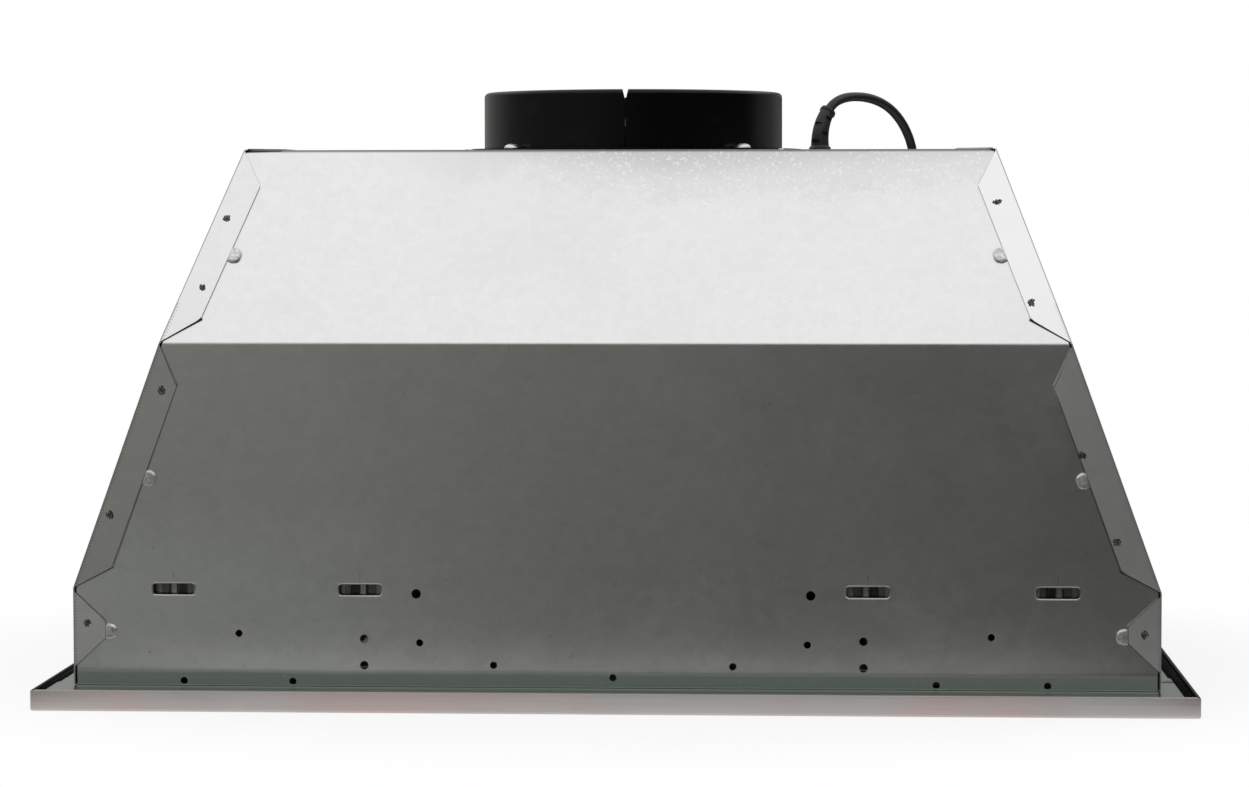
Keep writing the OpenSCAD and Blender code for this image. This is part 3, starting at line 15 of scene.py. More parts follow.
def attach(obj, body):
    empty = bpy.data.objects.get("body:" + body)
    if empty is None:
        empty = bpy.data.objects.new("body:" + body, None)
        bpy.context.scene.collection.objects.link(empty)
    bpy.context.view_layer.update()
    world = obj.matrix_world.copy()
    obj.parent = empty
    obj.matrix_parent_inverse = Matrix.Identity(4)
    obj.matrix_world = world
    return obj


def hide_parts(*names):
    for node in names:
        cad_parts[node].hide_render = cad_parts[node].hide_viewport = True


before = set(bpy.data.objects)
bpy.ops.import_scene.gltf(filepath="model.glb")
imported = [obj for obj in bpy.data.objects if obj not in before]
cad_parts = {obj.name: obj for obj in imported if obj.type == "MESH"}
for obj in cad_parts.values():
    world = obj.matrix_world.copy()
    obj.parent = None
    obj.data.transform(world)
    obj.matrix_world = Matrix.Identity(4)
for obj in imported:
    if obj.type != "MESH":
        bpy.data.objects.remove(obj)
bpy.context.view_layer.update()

Colour = tuple[float, float, float]
Point = tuple[float, float, float]
Socket = bpy.types.NodeSocket
Feed = float | int | tuple | Socket
Given = dict[str, Socket]
Shader = bpy.types.Node
Shade = tuple[float, float, float, float]
Flat = tuple[float, float]

MM = 0.001
FRONT_FACE = -0.212
KNEE_UP = 0.222
KNEE_POINT = (0.0, FRONT_FACE, KNEE_UP)
SLOPE_OUT = (0.0, -0.87903, 0.47676)
SLOPE_UP = (0.0, 0.47676, 0.87903)
SLOPE_BACK = 0.542373
ZINC_RELIEF = 0.004 * MM
HOOD = "hood"
log = logging.getLogger("range_hood")


def shaded(colour: Colour, factor: float) -> Shade:
    """Returns the colour times a factor, as a colour socket wants it."""
    return (*(min(1.0, channel * factor) for channel in colour), 1.0)


def neutral(level: float) -> Shade:
    """Returns a neutral grey."""
    return (level, level, level, 1.0)


class Nodes:
    """Adds nodes to one shader tree and joins them."""

    def __init__(self, tree: bpy.types.NodeTree) -> None:
        """Keeps the tree that is filled."""
        self.tree = tree

    def feed(self, socket: Socket, value: Feed) -> None:
        """Joins a socket to another one, or sets its own value.

        Args:
            socket: The input that is fed.
            value: An output socket, or the value to set.
        """
        if isinstance(value, bpy.types.NodeSocket):
            self.tree.links.new(value, socket)
        else:
            socket.default_value = value

    def add(self, kind: str, inputs: dict | None = None, **settings: object) -> bpy.types.Node:
        """Adds a node.

        Args:
            kind: Blender's name of the node type.
            inputs: What feeds its inputs, by name or number.
            settings: The node's own properties.

        Returns:
            The new node.
        """
        node = self.tree.nodes.new(kind)
        for name, value in settings.items():
            setattr(node, name, value)
        for key, value in (inputs or {}).items():
            self.feed(node.inputs[key], value)
        return node

    def math(self, operation: str, a: Feed, b: Feed = 0.0, c: Feed = 0.0, clamp: bool = False) -> Socket:
        """Does one sum on numbers.

        Args:
            operation: Blender's name of the sum.
            a: The first number.
            b: The second number, where the sum has one.
            c: The third number, where the sum has one.
            clamp: Whether the result is held between 0 and 1.

        Returns:
            The result.
        """
        node = self.add("ShaderNodeMath", {0: a, 1: b, 2: c}, operation=operation, use_clamp=clamp)
        return node.outputs[0]

    def times(self, a: Feed, b: Feed) -> Socket:
        """Returns a times b."""
        return self.math("MULTIPLY", a, b)

    def scale_add(self, a: Feed, b: Feed, c: Feed) -> Socket:
        """Returns a times b plus c."""
        return self.math("MULTIPLY_ADD", a, b, c)

    def plus(self, a: Feed, b: Feed) -> Socket:
        """Returns a plus b."""
        return self.math("ADD", a, b)

    def minus(self, a: Feed, b: Feed) -> Socket:
        """Returns a less b."""
        return self.math("SUBTRACT", a, b)

    def larger(self, a: Feed, b: Feed) -> Socket:
        """Returns the larger of a and b."""
        return self.math("MAXIMUM", a, b)

    def size(self, a: Feed) -> Socket:
        """Returns a without its sign."""
        return self.math("ABSOLUTE", a)

    def under(self, a: Feed, b: Feed) -> Socket:
        """Returns 1 where a is less than b, and 0 elsewhere."""
        return self.math("LESS_THAN", a, b)

    def over(self, a: Feed, b: Feed) -> Socket:
        """Returns 1 where a is more than b, and 0 elsewhere."""
        return self.math("GREATER_THAN", a, b)

    def vector(self, operation: str, a: Feed, b: Feed = (0.0, 0.0, 0.0)) -> Socket:
        """Does one sum on vectors.

        Args:
            operation: Blender's name of the sum.
            a: The first vector.
            b: The second vector, where the sum has one.

        Returns:
            A number for dot products and lengths, and else a vector.
        """
        node = self.add("ShaderNodeVectorMath", {0: a, 1: b}, operation=operation)
        single = operation in ("DOT_PRODUCT", "LENGTH", "DISTANCE")
        return node.outputs["Value" if single else "Vector"]

    def dot(self, a: Feed, b: Feed) -> Socket:
        """Returns how far a reaches along b."""
        return self.vector("DOT_PRODUCT", a, b)

    def stretch(self, vector: Feed, factor: Feed) -> Socket:
        """Returns a vector times a number."""
        return self.add("ShaderNodeVectorMath", {0: vector, "Scale": factor}, operation="SCALE").outputs[0]

    def noise(self, vector: Feed, scale: float, detail: float = 2.0, rough: float = 0.5) -> Socket:
        """Returns a noise from 0 to 1 at so many grains a metre."""
        inputs = {"Vector": vector, "Scale": scale, "Detail": detail, "Roughness": rough}
        return self.add("ShaderNodeTexNoise", inputs).outputs["Fac"]

    def ramp(self, value: Feed, low: Feed, high: Feed, to_low: Feed = 0.0, to_high: Feed = 1.0) -> Socket:
        """Spreads a value smoothly from one range to another.

        Args:
            value: The value.
            low: Where its range starts.
            high: Where its range ends. It may lie below the start.
            to_low: What the start turns into.
            to_high: What the end turns into.

        Returns:
            The value in its new range, held at both ends.
        """
        inputs = {"Value": value, "From Min": low, "From Max": high, "To Min": to_low, "To Max": to_high}
        node = self.add("ShaderNodeMapRange", inputs, interpolation_type="SMOOTHSTEP")
        return node.outputs["Result"]

    def mix(self, share: Feed, a: Feed, b: Feed) -> Socket:
        """Returns a number that goes from a to b as the share goes from 0 to 1."""
        return self.add("ShaderNodeMix", {0: share, 2: a, 3: b}).outputs[0]

    def blend(self, share: Feed, a: Feed, b: Feed) -> Socket:
        """Returns a colour that goes from a to b as the share goes from 0 to 1."""
        return self.add("ShaderNodeMix", {0: share, 6: a, 7: b}, data_type="RGBA").outputs[2]

    def split(self, vector: Feed) -> tuple[Socket, Socket, Socket]:
        """Returns the three numbers of a vector."""
        node = self.add("ShaderNodeSeparateXYZ", {0: vector})
        return node.outputs[0], node.outputs[1], node.outputs[2]

    def upright_plane(self, across: Feed, up: Feed) -> Socket:
        """Returns a point of the front's plane: how far across and how far up."""
        return self.add("ShaderNodeCombineXYZ", {0: across, 1: up}).outputs[0]

    def places(self) -> Socket:
        """Returns the piece's own coordinates, which are the hood's, in metres."""
        return self.add("ShaderNodeTexCoord").outputs["Object"]

    def facing(self) -> Socket:
        """Returns the surface's direction in the piece's own axes."""
        return self.add("ShaderNodeTexCoord").outputs["Normal"]


def clear_tree(owner: bpy.types.Material | bpy.types.World) -> Nodes:
    """Returns the nodes of a material or world, which starts with none."""
    owner.use_nodes = True
    owner.node_tree.nodes.clear()
    return Nodes(owner.node_tree)


@dataclass(frozen=True)
class Effect:
    """A surface effect that several finishes share, kept as a node group that is built once.

    Attributes:
        name: The group's name.
        inputs: Each input's socket type and first value.
        outputs: Each output's socket type.
        recipe: Fills the group: from its nodes and its inputs by name to what feeds its outputs.
    """

    name: str
    inputs: dict[str, tuple[str, object]]
    outputs: dict[str, str]
    recipe: Callable[[Nodes, Given], Given]

    def tree(self) -> bpy.types.NodeTree:
        """Returns the node group, and builds it the first time."""
        made = bpy.data.node_groups.get(self.name)
        if made:
            return made
        made = bpy.data.node_groups.new(self.name, "ShaderNodeTree")
        for name, (kind, value) in self.inputs.items():
            socket = made.interface.new_socket(name, in_out="INPUT", socket_type="NodeSocket" + kind)
            if value is not None:
                socket.default_value = value
        for name, kind in self.outputs.items():
            made.interface.new_socket(name, in_out="OUTPUT", socket_type="NodeSocket" + kind)
        nodes = Nodes(made)
        entry = nodes.add("NodeGroupInput")
        results = self.recipe(nodes, {name: entry.outputs[name] for name in self.inputs})
        nodes.add("NodeGroupOutput", results)
        return made

    def place(self, nodes: Nodes, **inputs: Feed) -> dict[str, Socket]:
        """Puts the effect into a material.

        Args:
            nodes: The material's nodes.
            inputs: What feeds the group's inputs.

        Returns:
            The group's outputs by name.
        """
        node = nodes.add("ShaderNodeGroup", node_tree=self.tree())
        for name, value in inputs.items():
            nodes.feed(node.inputs[name], value)
        return {name: node.outputs[name] for name in self.outputs}


def spangle_recipe(nodes: Nodes, given: Given) -> Given:
    """Zinc crystals: ragged cells of two sizes, each with its own shade, under a fine grain."""
    swing_reach = 0.006
    small_share, small_factor = 0.42, 2.7
    warp = nodes.add("ShaderNodeTexNoise", {"Vector": given["Vector"], "Scale": 420.0, "Detail": 3.0})
    swing = nodes.vector("SUBTRACT", warp.outputs["Color"], (0.5, 0.5, 0.5))
    inputs = {0: swing, 1: (swing_reach,) * 3, 2: given["Vector"]}
    ragged = nodes.add("ShaderNodeVectorMath", inputs, operation="MULTIPLY_ADD").outputs[0]
    shades = []
    for factor in (1.0, small_factor):
        scale = nodes.times(given["Scale"], factor)
        cells = nodes.add("ShaderNodeTexVoronoi", {"Vector": ragged, "Scale": scale})
        shades.append(nodes.split(cells.outputs["Color"])[0])
    both = nodes.mix(small_share, shades[0], shades[1])
    fine = nodes.noise(given["Vector"], 1500.0, 3.0, 0.7)
    return {"Shade": nodes.mix(given["Grain"], both, fine)}


def brushing_recipe(nodes: Nodes, given: Given) -> Given:
    """Brushed lines: noise drawn out along one direction, coarse and fine together."""
    fine_share = 0.5
    drawn = nodes.vector("MULTIPLY", given["Vector"], given["Stretch"])
    coarse = nodes.noise(drawn, 260.0, 3.0, 0.6)
    fine = nodes.noise(drawn, 1100.0, 2.0, 0.6)
    return {"Shade": nodes.mix(fine_share, coarse, fine)}


def smudge_recipe(nodes: Nodes, given: Given) -> Given:
    """Soft blotches of handling and storage dust."""
    wide = nodes.noise(given["Vector"], given["Scale"], 4.0, 0.62)
    return {"Mask": nodes.ramp(wide, given["From"], given["To"])}


def band_recipe(nodes: Nodes, given: Given) -> Given:
    """A strip between two values, with soft ends."""
    after = nodes.ramp(given["Value"], nodes.minus(given["Low"], given["Soft"]), given["Low"])
    past = nodes.ramp(given["Value"], given["High"], nodes.plus(given["High"], given["Soft"]))
    return {"Mask": nodes.times(after, nodes.minus(1.0, past))}


def line_recipe(nodes: Nodes, given: Given) -> Given:
    """A straight stroke: near the line from one point to another, with a soft edge."""
    full_share = 0.3
    away = nodes.vector("SUBTRACT", given["Vector"], given["From"])
    run = nodes.vector("SUBTRACT", given["To"], given["From"])
    share = nodes.math("DIVIDE", nodes.dot(away, run), nodes.dot(run, run), clamp=True)
    gap = nodes.vector("DISTANCE", away, nodes.stretch(run, share))
    return {"Mask": nodes.ramp(gap, given["Width"], nodes.times(given["Width"], full_share))}


def edge_recipe(nodes: Nodes, given: Given) -> Given:
    """Wear along edges: where the rounded and the true direction of the surface part."""
    rounded = nodes.add("ShaderNodeBevel", {"Radius": given["Width"]}, samples=4).outputs["Normal"]
    true = nodes.add("ShaderNodeNewGeometry").outputs["Normal"]
    worn_from, worn_fully = 0.02, 0.22
    parted = nodes.minus(1.0, nodes.dot(rounded, true))
    return {"Mask": nodes.ramp(parted, worn_from, worn_fully)}


VECTOR_IN = ("Vector", None)
SPANGLE = Effect("zinc_spangle", {"Vector": VECTOR_IN, "Scale": ("Float", 190.0), "Grain": ("Float", 0.35)},
                 {"Shade": "Float"}, spangle_recipe)
BRUSHING = Effect("brushed_lines", {"Vector": VECTOR_IN, "Stretch": ("Vector", (0.03, 1.0, 1.0))},
                  {"Shade": "Float"}, brushing_recipe)
SMUDGE = Effect("smudges", {"Vector": VECTOR_IN, "Scale": ("Float", 9.0), "From": ("Float", 0.5),
                            "To": ("Float", 0.75)}, {"Mask": "Float"}, smudge_recipe)
BAND = Effect("soft_band", {"Value": ("Float", 0.0), "Low": ("Float", 0.0), "High": ("Float", 1.0),
                            "Soft": ("Float", 0.1)}, {"Mask": "Float"}, band_recipe)
LINE = Effect("stroke", {"Vector": VECTOR_IN, "From": ("Vector", (0.0, 0.0, 0.0)),
                         "To": ("Vector", (0.0, 0.0, 1.0)), "Width": ("Float", 0.0006)},
              {"Mask": "Float"}, line_recipe)
EDGE = Effect("edge_wear", {"Width": ("Float", 0.0006)}, {"Mask": "Float"}, edge_recipe)


def stroke(nodes: Nodes, plane: Socket, start: Flat, end: Flat, width: float) -> Socket:
    """Returns where a stroke between two points of a plane lies."""
    return LINE.place(nodes, Vector=plane, From=(*start, 0.0), To=(*end, 0.0), Width=width)["Mask"]


@dataclass(frozen=True)
class Finish:
    """A surface finish, whose material is made once and shared by the pieces that have it.

    Attributes:
        name: The finish in plain words.
        colour: Its main colour, in linear light.
        roughness: How matt it is.
        metallic: 1 for bare metal, 0 for anything else.
    """

    name: str
    colour: Colour
    roughness: float
    metallic: float = 0.0

    def material(self) -> bpy.types.Material:
        """Returns the finish's material, and makes it the first time."""
        title = self.name + " finish"
        made = bpy.data.materials.get(title)
        if made:
            return made
        made = bpy.data.materials.new(title)
        nodes = clear_tree(made)
        shader = nodes.add("ShaderNodeBsdfPrincipled", {"Base Color": (*self.colour, 1.0),
                           "Roughness": self.roughness, "Metallic": self.metallic})
        nodes.add("ShaderNodeOutputMaterial", {"Surface": shader.outputs[0]})
        self.paint(nodes, shader)
        return made

    def paint(self, nodes: Nodes, shader: Shader) -> None:
        """Adds the finish's own detail to its shader.

        Args:
            nodes: The material's nodes.
            shader: Its shader.
        """
        raise NotImplementedError

    def raise_bumps(self, nodes: Nodes, shader: Shader, height: Feed, depth: float) -> None:
        """Lets a height show as relief.

        Args:
            nodes: The material's nodes.
            shader: Its shader.
            height: The height, from 0 to 1.
            depth: What a height of 1 measures, in metres.
        """
        bump = nodes.add("ShaderNodeBump", {"Height": height, "Distance": depth, "Strength": 1.0})
        nodes.feed(shader.inputs["Normal"], bump.outputs["Normal"])


@dataclass(frozen=True)
class GalvanisedSheet(Finish):
    """Hot-dip galvanised steel sheet with a faint spangle.

    Attributes:
        spangle: Crystals a metre.
        contrast: How far their shades differ.
        soil: How much of the smudges shows.
    """

    metallic: float = 1.0
    spangle: float = 190.0
    contrast: float = 0.05
    soil: float = 0.25

    def paint(self, nodes: Nodes, shader: Shader) -> None:
        """Varies the sheet's shade and gloss from crystal to crystal, with soft smudges over it."""
        soiled = 0.9
        gloss_swing, smudge_gloss = 0.08, 0.06
        places = nodes.places()
        shade = SPANGLE.place(nodes, Vector=places, Scale=self.spangle)["Shade"]
        smudge = SMUDGE.place(nodes, Vector=places, Scale=7.0, From=0.48, To=0.78)["Mask"]
        dark, pale = shaded(self.colour, 1.0 - self.contrast), shaded(self.colour, 1.0 + self.contrast)
        crystals = nodes.blend(shade, dark, pale)
        dull = nodes.blend(nodes.times(smudge, self.soil), crystals, shaded(self.colour, soiled))
        nodes.feed(shader.inputs["Base Color"], self.tint(nodes, places, shade, dull))
        gloss = nodes.plus(self.roughness - gloss_swing / 2, nodes.times(shade, gloss_swing))
        nodes.feed(shader.inputs["Roughness"], nodes.scale_add(smudge, smudge_gloss, gloss))
        self.relief(nodes, shader, places, shade)

    def tint(self, nodes: Nodes, places: Socket, shade: Socket, colour: Socket) -> Socket:
        """Adds what marks one panel alone: nothing here.

        Args:
            nodes: The material's nodes.
            places: The surface's coordinates.
            shade: The crystals' shade.
            colour: The plain sheet's colour.

        Returns:
            The panel's colour.
        """
        return colour

    def relief(self, nodes: Nodes, shader: Shader, places: Socket, shade: Socket) -> None:
        """Gives the crystals a trace of relief.

        Args:
            nodes: The material's nodes.
            shader: Its shader.
            places: The surface's coordinates.
            shade: The crystals' shade.
        """
        self.raise_bumps(nodes, shader, shade, ZINC_RELIEF)


@dataclass(frozen=True)
class FrontSheet(GalvanisedSheet):
    """The front sheet: painted reflection in a dark band along its foot, and an upper front tarnished along
    its top.

    Attributes:
        band_top: Height of the band's upper edge.
        reflection_colour: The colour of the band's painted reflection.
        hiding: The power by which the painted reflection's cover lags behind its colour.
        top: Height of the top plate.
        tarnish_low: How far below the top the tarnish reaches in the middle.
        wavy: How far its edge waves.
        tarnished: The shade of tarnished zinc.
        fleck: The colour of the bright flecks in it.
        seams: Painted shadow along the joints beside the side panels' flanges: both ends, strength and width
            in mm.
        folds: Ends of the top fold with painted shade, across and up.
        glints: Ends of the joints on the right, painted as highlights where the sheared edges catch the
            light.
        punch_marks: The faint tooling marks above the slots, across and up.
    """

    band_top: float = 0.0222
    reflection_colour: Shade = (0.176, 0.209, 0.179, 1.0)
    hiding: float = 2.5
    top: float = 0.34
    tarnish_low: float = 0.034
    wavy: float = 0.03
    tarnished: float = 0.64
    fleck: Shade = neutral(0.95)
    seams: tuple = (
        ((0.331, 0.0720), (0.3064, 0.0846), 0.75, 0.75), ((0.3064, 0.0846), (0.2658, 0.1968), 0.5, 0.75),
        ((0.2658, 0.1968), (0.2766, 0.2215), 0.35, 0.75), ((0.331, 0.0704), (0.3112, 0.0518), 0.6, 0.75),
        ((0.3112, 0.0415), (0.331, 0.0228), 0.5, 0.75), ((0.2764, 0.2229), (0.2519, 0.2361), 1.0, 1.2),
        ((0.2223, 0.3180), (0.2335, 0.3385), 0.16, 0.8))
    folds: tuple = (((-0.2335, 0.3390), (-0.2110, 0.3397)),)
    glints: tuple = (((0.2764, 0.2212), (0.2656, 0.1970)), ((0.2656, 0.1970), (0.2675, 0.1915)),
                     ((0.3309, 0.0706), (0.3108, 0.0521)))
    punch_marks: tuple = ((-0.269, 0.0815), (0.269, 0.0815), (-0.1545, 0.0815), (0.1545, 0.0815))

    def tint(self, nodes: Nodes, places: Socket, shade: Socket, colour: Socket) -> Socket:
        """Adds all that marks the front, painted light and shade among it."""
        painted_lighting = self.paint_lift_and_band(nodes, places, colour)
        tarnished = self.tarnish(nodes, places, shade, painted_lighting)
        joined = self.joints(nodes, places, tarnished)
        return self.specks(nodes, places, self.punches(nodes, places, joined))

    def paint_lift_and_band(self, nodes: Nodes, places: Socket, colour: Socket) -> Socket:
        """Adds painted light that brightens the lower left, and the band of painted reflection along the
        foot.

        Args:
            nodes: The material's nodes.
            places: The surface's coordinates.
            colour: The colour so far.

        Returns:
            The colour with both.
        """
        # Painted light: the band's lowest millimetre is painted paler, against the shade at the frame.
        foot, foot_painted_light = (0.0134, 0.0126), (0.58, 0.67, 0.59, 1.0)
        # Painted light: the lower left of the front is painted brighter.
        painted_lift_up, painted_lift_across = (0.14, 0.06), (0.02, -0.26)
        painted_lighting = (1.19, 1.21, 1.21)
        x, _, z = nodes.split(places)
        reflection_colour = nodes.blend(nodes.ramp(z, *foot), self.reflection_colour, foot_painted_light)
        lift = nodes.times(nodes.ramp(z, *painted_lift_up), nodes.ramp(x, *painted_lift_across))
        lifted = nodes.blend(lift, colour, nodes.vector("MULTIPLY", colour, painted_lighting))
        return nodes.blend(self.band(nodes, places), lifted, reflection_colour)

    def tarnish(self, nodes: Nodes, places: Socket, shade: Socket, colour: Socket) -> Socket:
        """Adds the mottled tarnish along the top, with bright flecks left in it.

        Args:
            nodes: The material's nodes.
            places: The surface's coordinates.
            shade: The crystals' shade.
            colour: The colour so far.

        Returns:
            The colour with the tarnish.
        """
        tarnish_middle, tarnish_sag, tarnish_slant = 0.03, 0.10, 0.03
        ragged, fade = 0.034, 0.012
        left_end, fleck_left_end = (-0.17, -0.08), (-0.12, 0.0)
        depths, strengths = (0.010, 0.034), (0.25, 0.8)
        fleck_cut, fleck_share = (0.58, 0.64), 0.45
        x, _, z = nodes.split(places)
        curve = nodes.times(nodes.size(nodes.minus(x, tarnish_middle)), tarnish_sag)
        level = nodes.plus(curve, self.top - self.tarnish_low)
        reach = nodes.minus(level, nodes.times(x, tarnish_slant))
        broken = nodes.minus(nodes.scale_add(shade, ragged, z), self.wavy)
        wavy = nodes.scale_add(nodes.noise(places, 22.0, 3.0), self.wavy, broken)
        above = nodes.minus(wavy, reach)
        cover = nodes.times(nodes.ramp(above, 0.0, fade), nodes.ramp(x, *left_end))
        deeper = nodes.ramp(nodes.minus(z, reach), *depths, *strengths)
        dulled = nodes.blend(nodes.times(cover, deeper), colour, shaded(self.colour, self.tarnished))
        flecks = nodes.ramp(nodes.noise(places, 460.0, 2.0, 0.6), *fleck_cut)
        zone = nodes.times(nodes.ramp(above, -fade / 2, fade / 2), nodes.ramp(x, *fleck_left_end))
        fresh = nodes.times(nodes.times(flecks, zone), fleck_share)
        return nodes.blend(fresh, dulled, self.fleck)

    def joints(self, nodes: Nodes, places: Socket, colour: Socket) -> Socket:
        """Adds painted shade in the top fold and painted shadow along the joints.

        Args:
            nodes: The material's nodes.
            places: The surface's coordinates.
            colour: The colour so far.

        Returns:
            The colour with the painted shade.
        """
        # Painted shade: dark in the top fold, at the fold's left end and beside the flanges' edges.
        fold, fold_painted_shade = 0.0022, (0.045, 0.045, 0.043, 1.0)
        painted_shadow_black = (0.03, 0.03, 0.028, 1.0)
        fold_front, fold_end, fold_share = (-0.1455, -0.1465), 0.0004, 0.86
        seams_front, folds_front, fold_width = -0.15, -0.14, 1.1 * MM
        x, y, z = nodes.split(places)
        near_top = nodes.ramp(z, self.top - fold, self.top - fold_end)
        folded = nodes.times(near_top, nodes.ramp(y, *fold_front))
        painted_joint_shade = nodes.blend(nodes.times(folded, fold_share), colour, fold_painted_shade)
        both_sides = nodes.upright_plane(nodes.size(x), z)
        for start, end, strength, width in self.seams:
            seam = stroke(nodes, both_sides, start, end, width * MM)
            seam = nodes.times(seam, nodes.under(y, seams_front))
            painted_joint_shade = nodes.blend(nodes.times(seam, strength), painted_joint_shade, painted_shadow_black)
        flat = nodes.upright_plane(x, z)
        for start, end in self.folds:
            dark = nodes.times(stroke(nodes, flat, start, end, fold_width), nodes.under(y, folds_front))
            painted_joint_shade = nodes.blend(dark, painted_joint_shade, neutral(0.02))
        return painted_joint_shade

    def punches(self, nodes: Nodes, places: Socket, colour: Socket) -> Socket:
        """Adds the tooling marks above the slots.

        Args:
            nodes: The material's nodes.
            places: The surface's coordinates.
            colour: The colour so far.

        Returns:
            The colour with the marks.
        """
        punch_dirt = (0.10, 0.10, 0.095, 1.0)
        slant, length, width, share = 0.0003, 0.003, 0.5 * MM, 0.35
        x, _, z = nodes.split(places)
        flat = nodes.upright_plane(x, z)
        for across, up in self.punch_marks:
            tick = stroke(nodes, flat, (across, up), (across + slant, up - length), width)
            colour = nodes.blend(nodes.times(tick, share), colour, punch_dirt)
        return colour

    def relief(self, nodes: Nodes, shader: Shader, places: Socket, shade: Socket) -> None:
        """Gives the crystals a trace of relief; keeps the painted glints and painted reflection from
        mirroring.
        """
        matt_reflection, grain_depth = 0.8, 0.006 * MM
        # Painted highlights: along the glints the metal partly gives way to its plain colour.
        glint_width, glint_share, glints_front = 0.7 * MM, 0.30, -0.15
        self.raise_bumps(nodes, shader, shade, grain_depth)
        x, y, z = nodes.split(places)
        flat = nodes.upright_plane(x, z)
        pale = 0.0
        for start, end in self.glints:
            pale = nodes.larger(stroke(nodes, flat, start, end, glint_width), pale)
        ahead = nodes.times(pale, nodes.under(y, glints_front))
        cover = nodes.times(self.reflection_cover(nodes, places), matt_reflection)
        matt = nodes.larger(nodes.times(ahead, glint_share), cover)
        nodes.feed(shader.inputs["Metallic"], nodes.minus(1.0, matt))

    def reflection_cover(self, nodes: Nodes, places: Socket) -> Socket:
        """Returns where the band's painted reflection is thick enough to hide the metal."""
        return nodes.math("POWER", self.band(nodes, places), self.hiding)

    def band(self, nodes: Nodes, places: Socket) -> Socket:
        """Places the band of painted reflection, with its slightly wandering upper edge.

        Args:
            nodes: The material's nodes.
            places: The surface's coordinates.

        Returns:
            Where the band lies.
        """
        fade_above, fade_below, wander = 0.0012, 0.0026, 0.003
        lowered = nodes.minus(nodes.split(places)[2], wander / 2)
        level = nodes.scale_add(nodes.noise(places, 14.0), wander, lowered)
        return nodes.ramp(level, self.band_top + fade_above, self.band_top - fade_below)

    def specks(self, nodes: Nodes, places: Socket, colour: Socket) -> Socket:
        """Scatters a few dark specks and fine pale scratches.

        Args:
            nodes: The material's nodes.
            places: The surface's coordinates.
            colour: The colour so far.

        Returns:
            The colour with both.
        """
        rare, speck_edge, speck_share = 0.86, (0.02, 0.008), 0.5
        scratch_cut, scratch_share = (0.64, 0.74), 0.10
        cells = nodes.add("ShaderNodeTexVoronoi", {"Vector": places, "Scale": 24.0})
        lone = nodes.over(nodes.split(cells.outputs["Color"])[1], rare)
        dot = nodes.times(lone, nodes.ramp(cells.outputs["Distance"], *speck_edge))
        drawn = nodes.vector("MULTIPLY", places, (0.35, 1.0, 1.0))
        streak = nodes.ramp(nodes.noise(drawn, 900.0, 2.0, 0.6), *scratch_cut)
        scratched = nodes.blend(nodes.times(streak, scratch_share), colour, neutral(0.95))
        return nodes.blend(nodes.times(dot, speck_share), scratched, (0.12, 0.115, 0.11, 1.0))


@dataclass(frozen=True)
class FrameSheet(GalvanisedSheet):
    """The base frame's sheet, which takes on the front's band of painted reflection where it runs ahead of
    it.

    Attributes:
        front: Where the strip ahead of the front starts.
        corner: The front's ends, from the middle.
        slant: How far the band narrows from there to the rim, as a share of the strip's depth.
        uneven: How much more it narrows at the left than at the right.
        reflection_colour: The colour of the painted reflection on the strip.
    """

    front: float = -0.2125
    corner: float = 0.3302
    slant: float = 0.159
    uneven: float = 0.059
    reflection_colour: Colour = (0.102, 0.120, 0.103)

    def tint(self, nodes: Nodes, places: Socket, shade: Socket, colour: Socket) -> Socket:
        """Paints reflection and light on the strip ahead of the front, and darkens the joints at the front's
        ends.
        """
        # Painted light: close to the front the strip is painted paler, against the shade that the front
        # casts.
        shadow, shadow_lift = 0.011, 2.5
        # A short dark dash is painted on the right wing.
        dash_start, dash_end = (0.3362, -0.170, 0.012), (0.3420, -0.170, 0.012)
        joint_width, joint_ahead, dash_width = (0.0009, 0.0004), 0.001, 5.0 * MM
        y = nodes.split(places)[1]
        ahead, across = self.strip(nodes, places)
        near = nodes.ramp(y, self.front - shadow, self.front)
        reflection_colour = nodes.blend(near, shaded(self.reflection_colour, 1.0), shaded(self.reflection_colour, shadow_lift))
        strip = nodes.blend(ahead, colour, reflection_colour)
        at_end = nodes.size(nodes.minus(across, self.corner))
        ahead_of_front = nodes.ramp(y, self.front + joint_ahead, self.front)
        joint = nodes.times(nodes.ramp(at_end, *joint_width), ahead_of_front)
        jointed = nodes.blend(joint, strip, neutral(0.02))
        dash_mark = LINE.place(nodes, Vector=places, From=dash_start, To=dash_end, Width=dash_width)["Mask"]
        return nodes.blend(dash_mark, jointed, neutral(0.03))

    def strip(self, nodes: Nodes, places: Socket) -> tuple[Socket, Socket]:
        """Places the strip ahead of the front.

        Args:
            nodes: The material's nodes.
            places: The surface's coordinates.

        Returns:
            Where the strip lies, and the distance from the middle that bounds it.
        """
        front_fade, end_fade = 0.001, 0.0008
        x, y, _ = nodes.split(places)
        lean = nodes.scale_add(nodes.math("SIGN", x), -self.uneven, self.slant)
        across = nodes.plus(nodes.size(x), nodes.times(lean, nodes.minus(self.front, y)))
        inside = nodes.ramp(across, self.corner, self.corner - end_fade)
        return nodes.times(nodes.ramp(y, self.front + front_fade, self.front), inside), across

    def relief(self, nodes: Nodes, shader: Shader, places: Socket, shade: Socket) -> None:
        """Gives the crystals a trace of relief, and keeps the strip's painted reflection from mirroring."""
        matt_reflection = 0.8
        self.raise_bumps(nodes, shader, shade, ZINC_RELIEF)
        matt = nodes.times(self.strip(nodes, places)[0], matt_reflection)
        nodes.feed(shader.inputs["Metallic"], nodes.minus(1.0, matt))


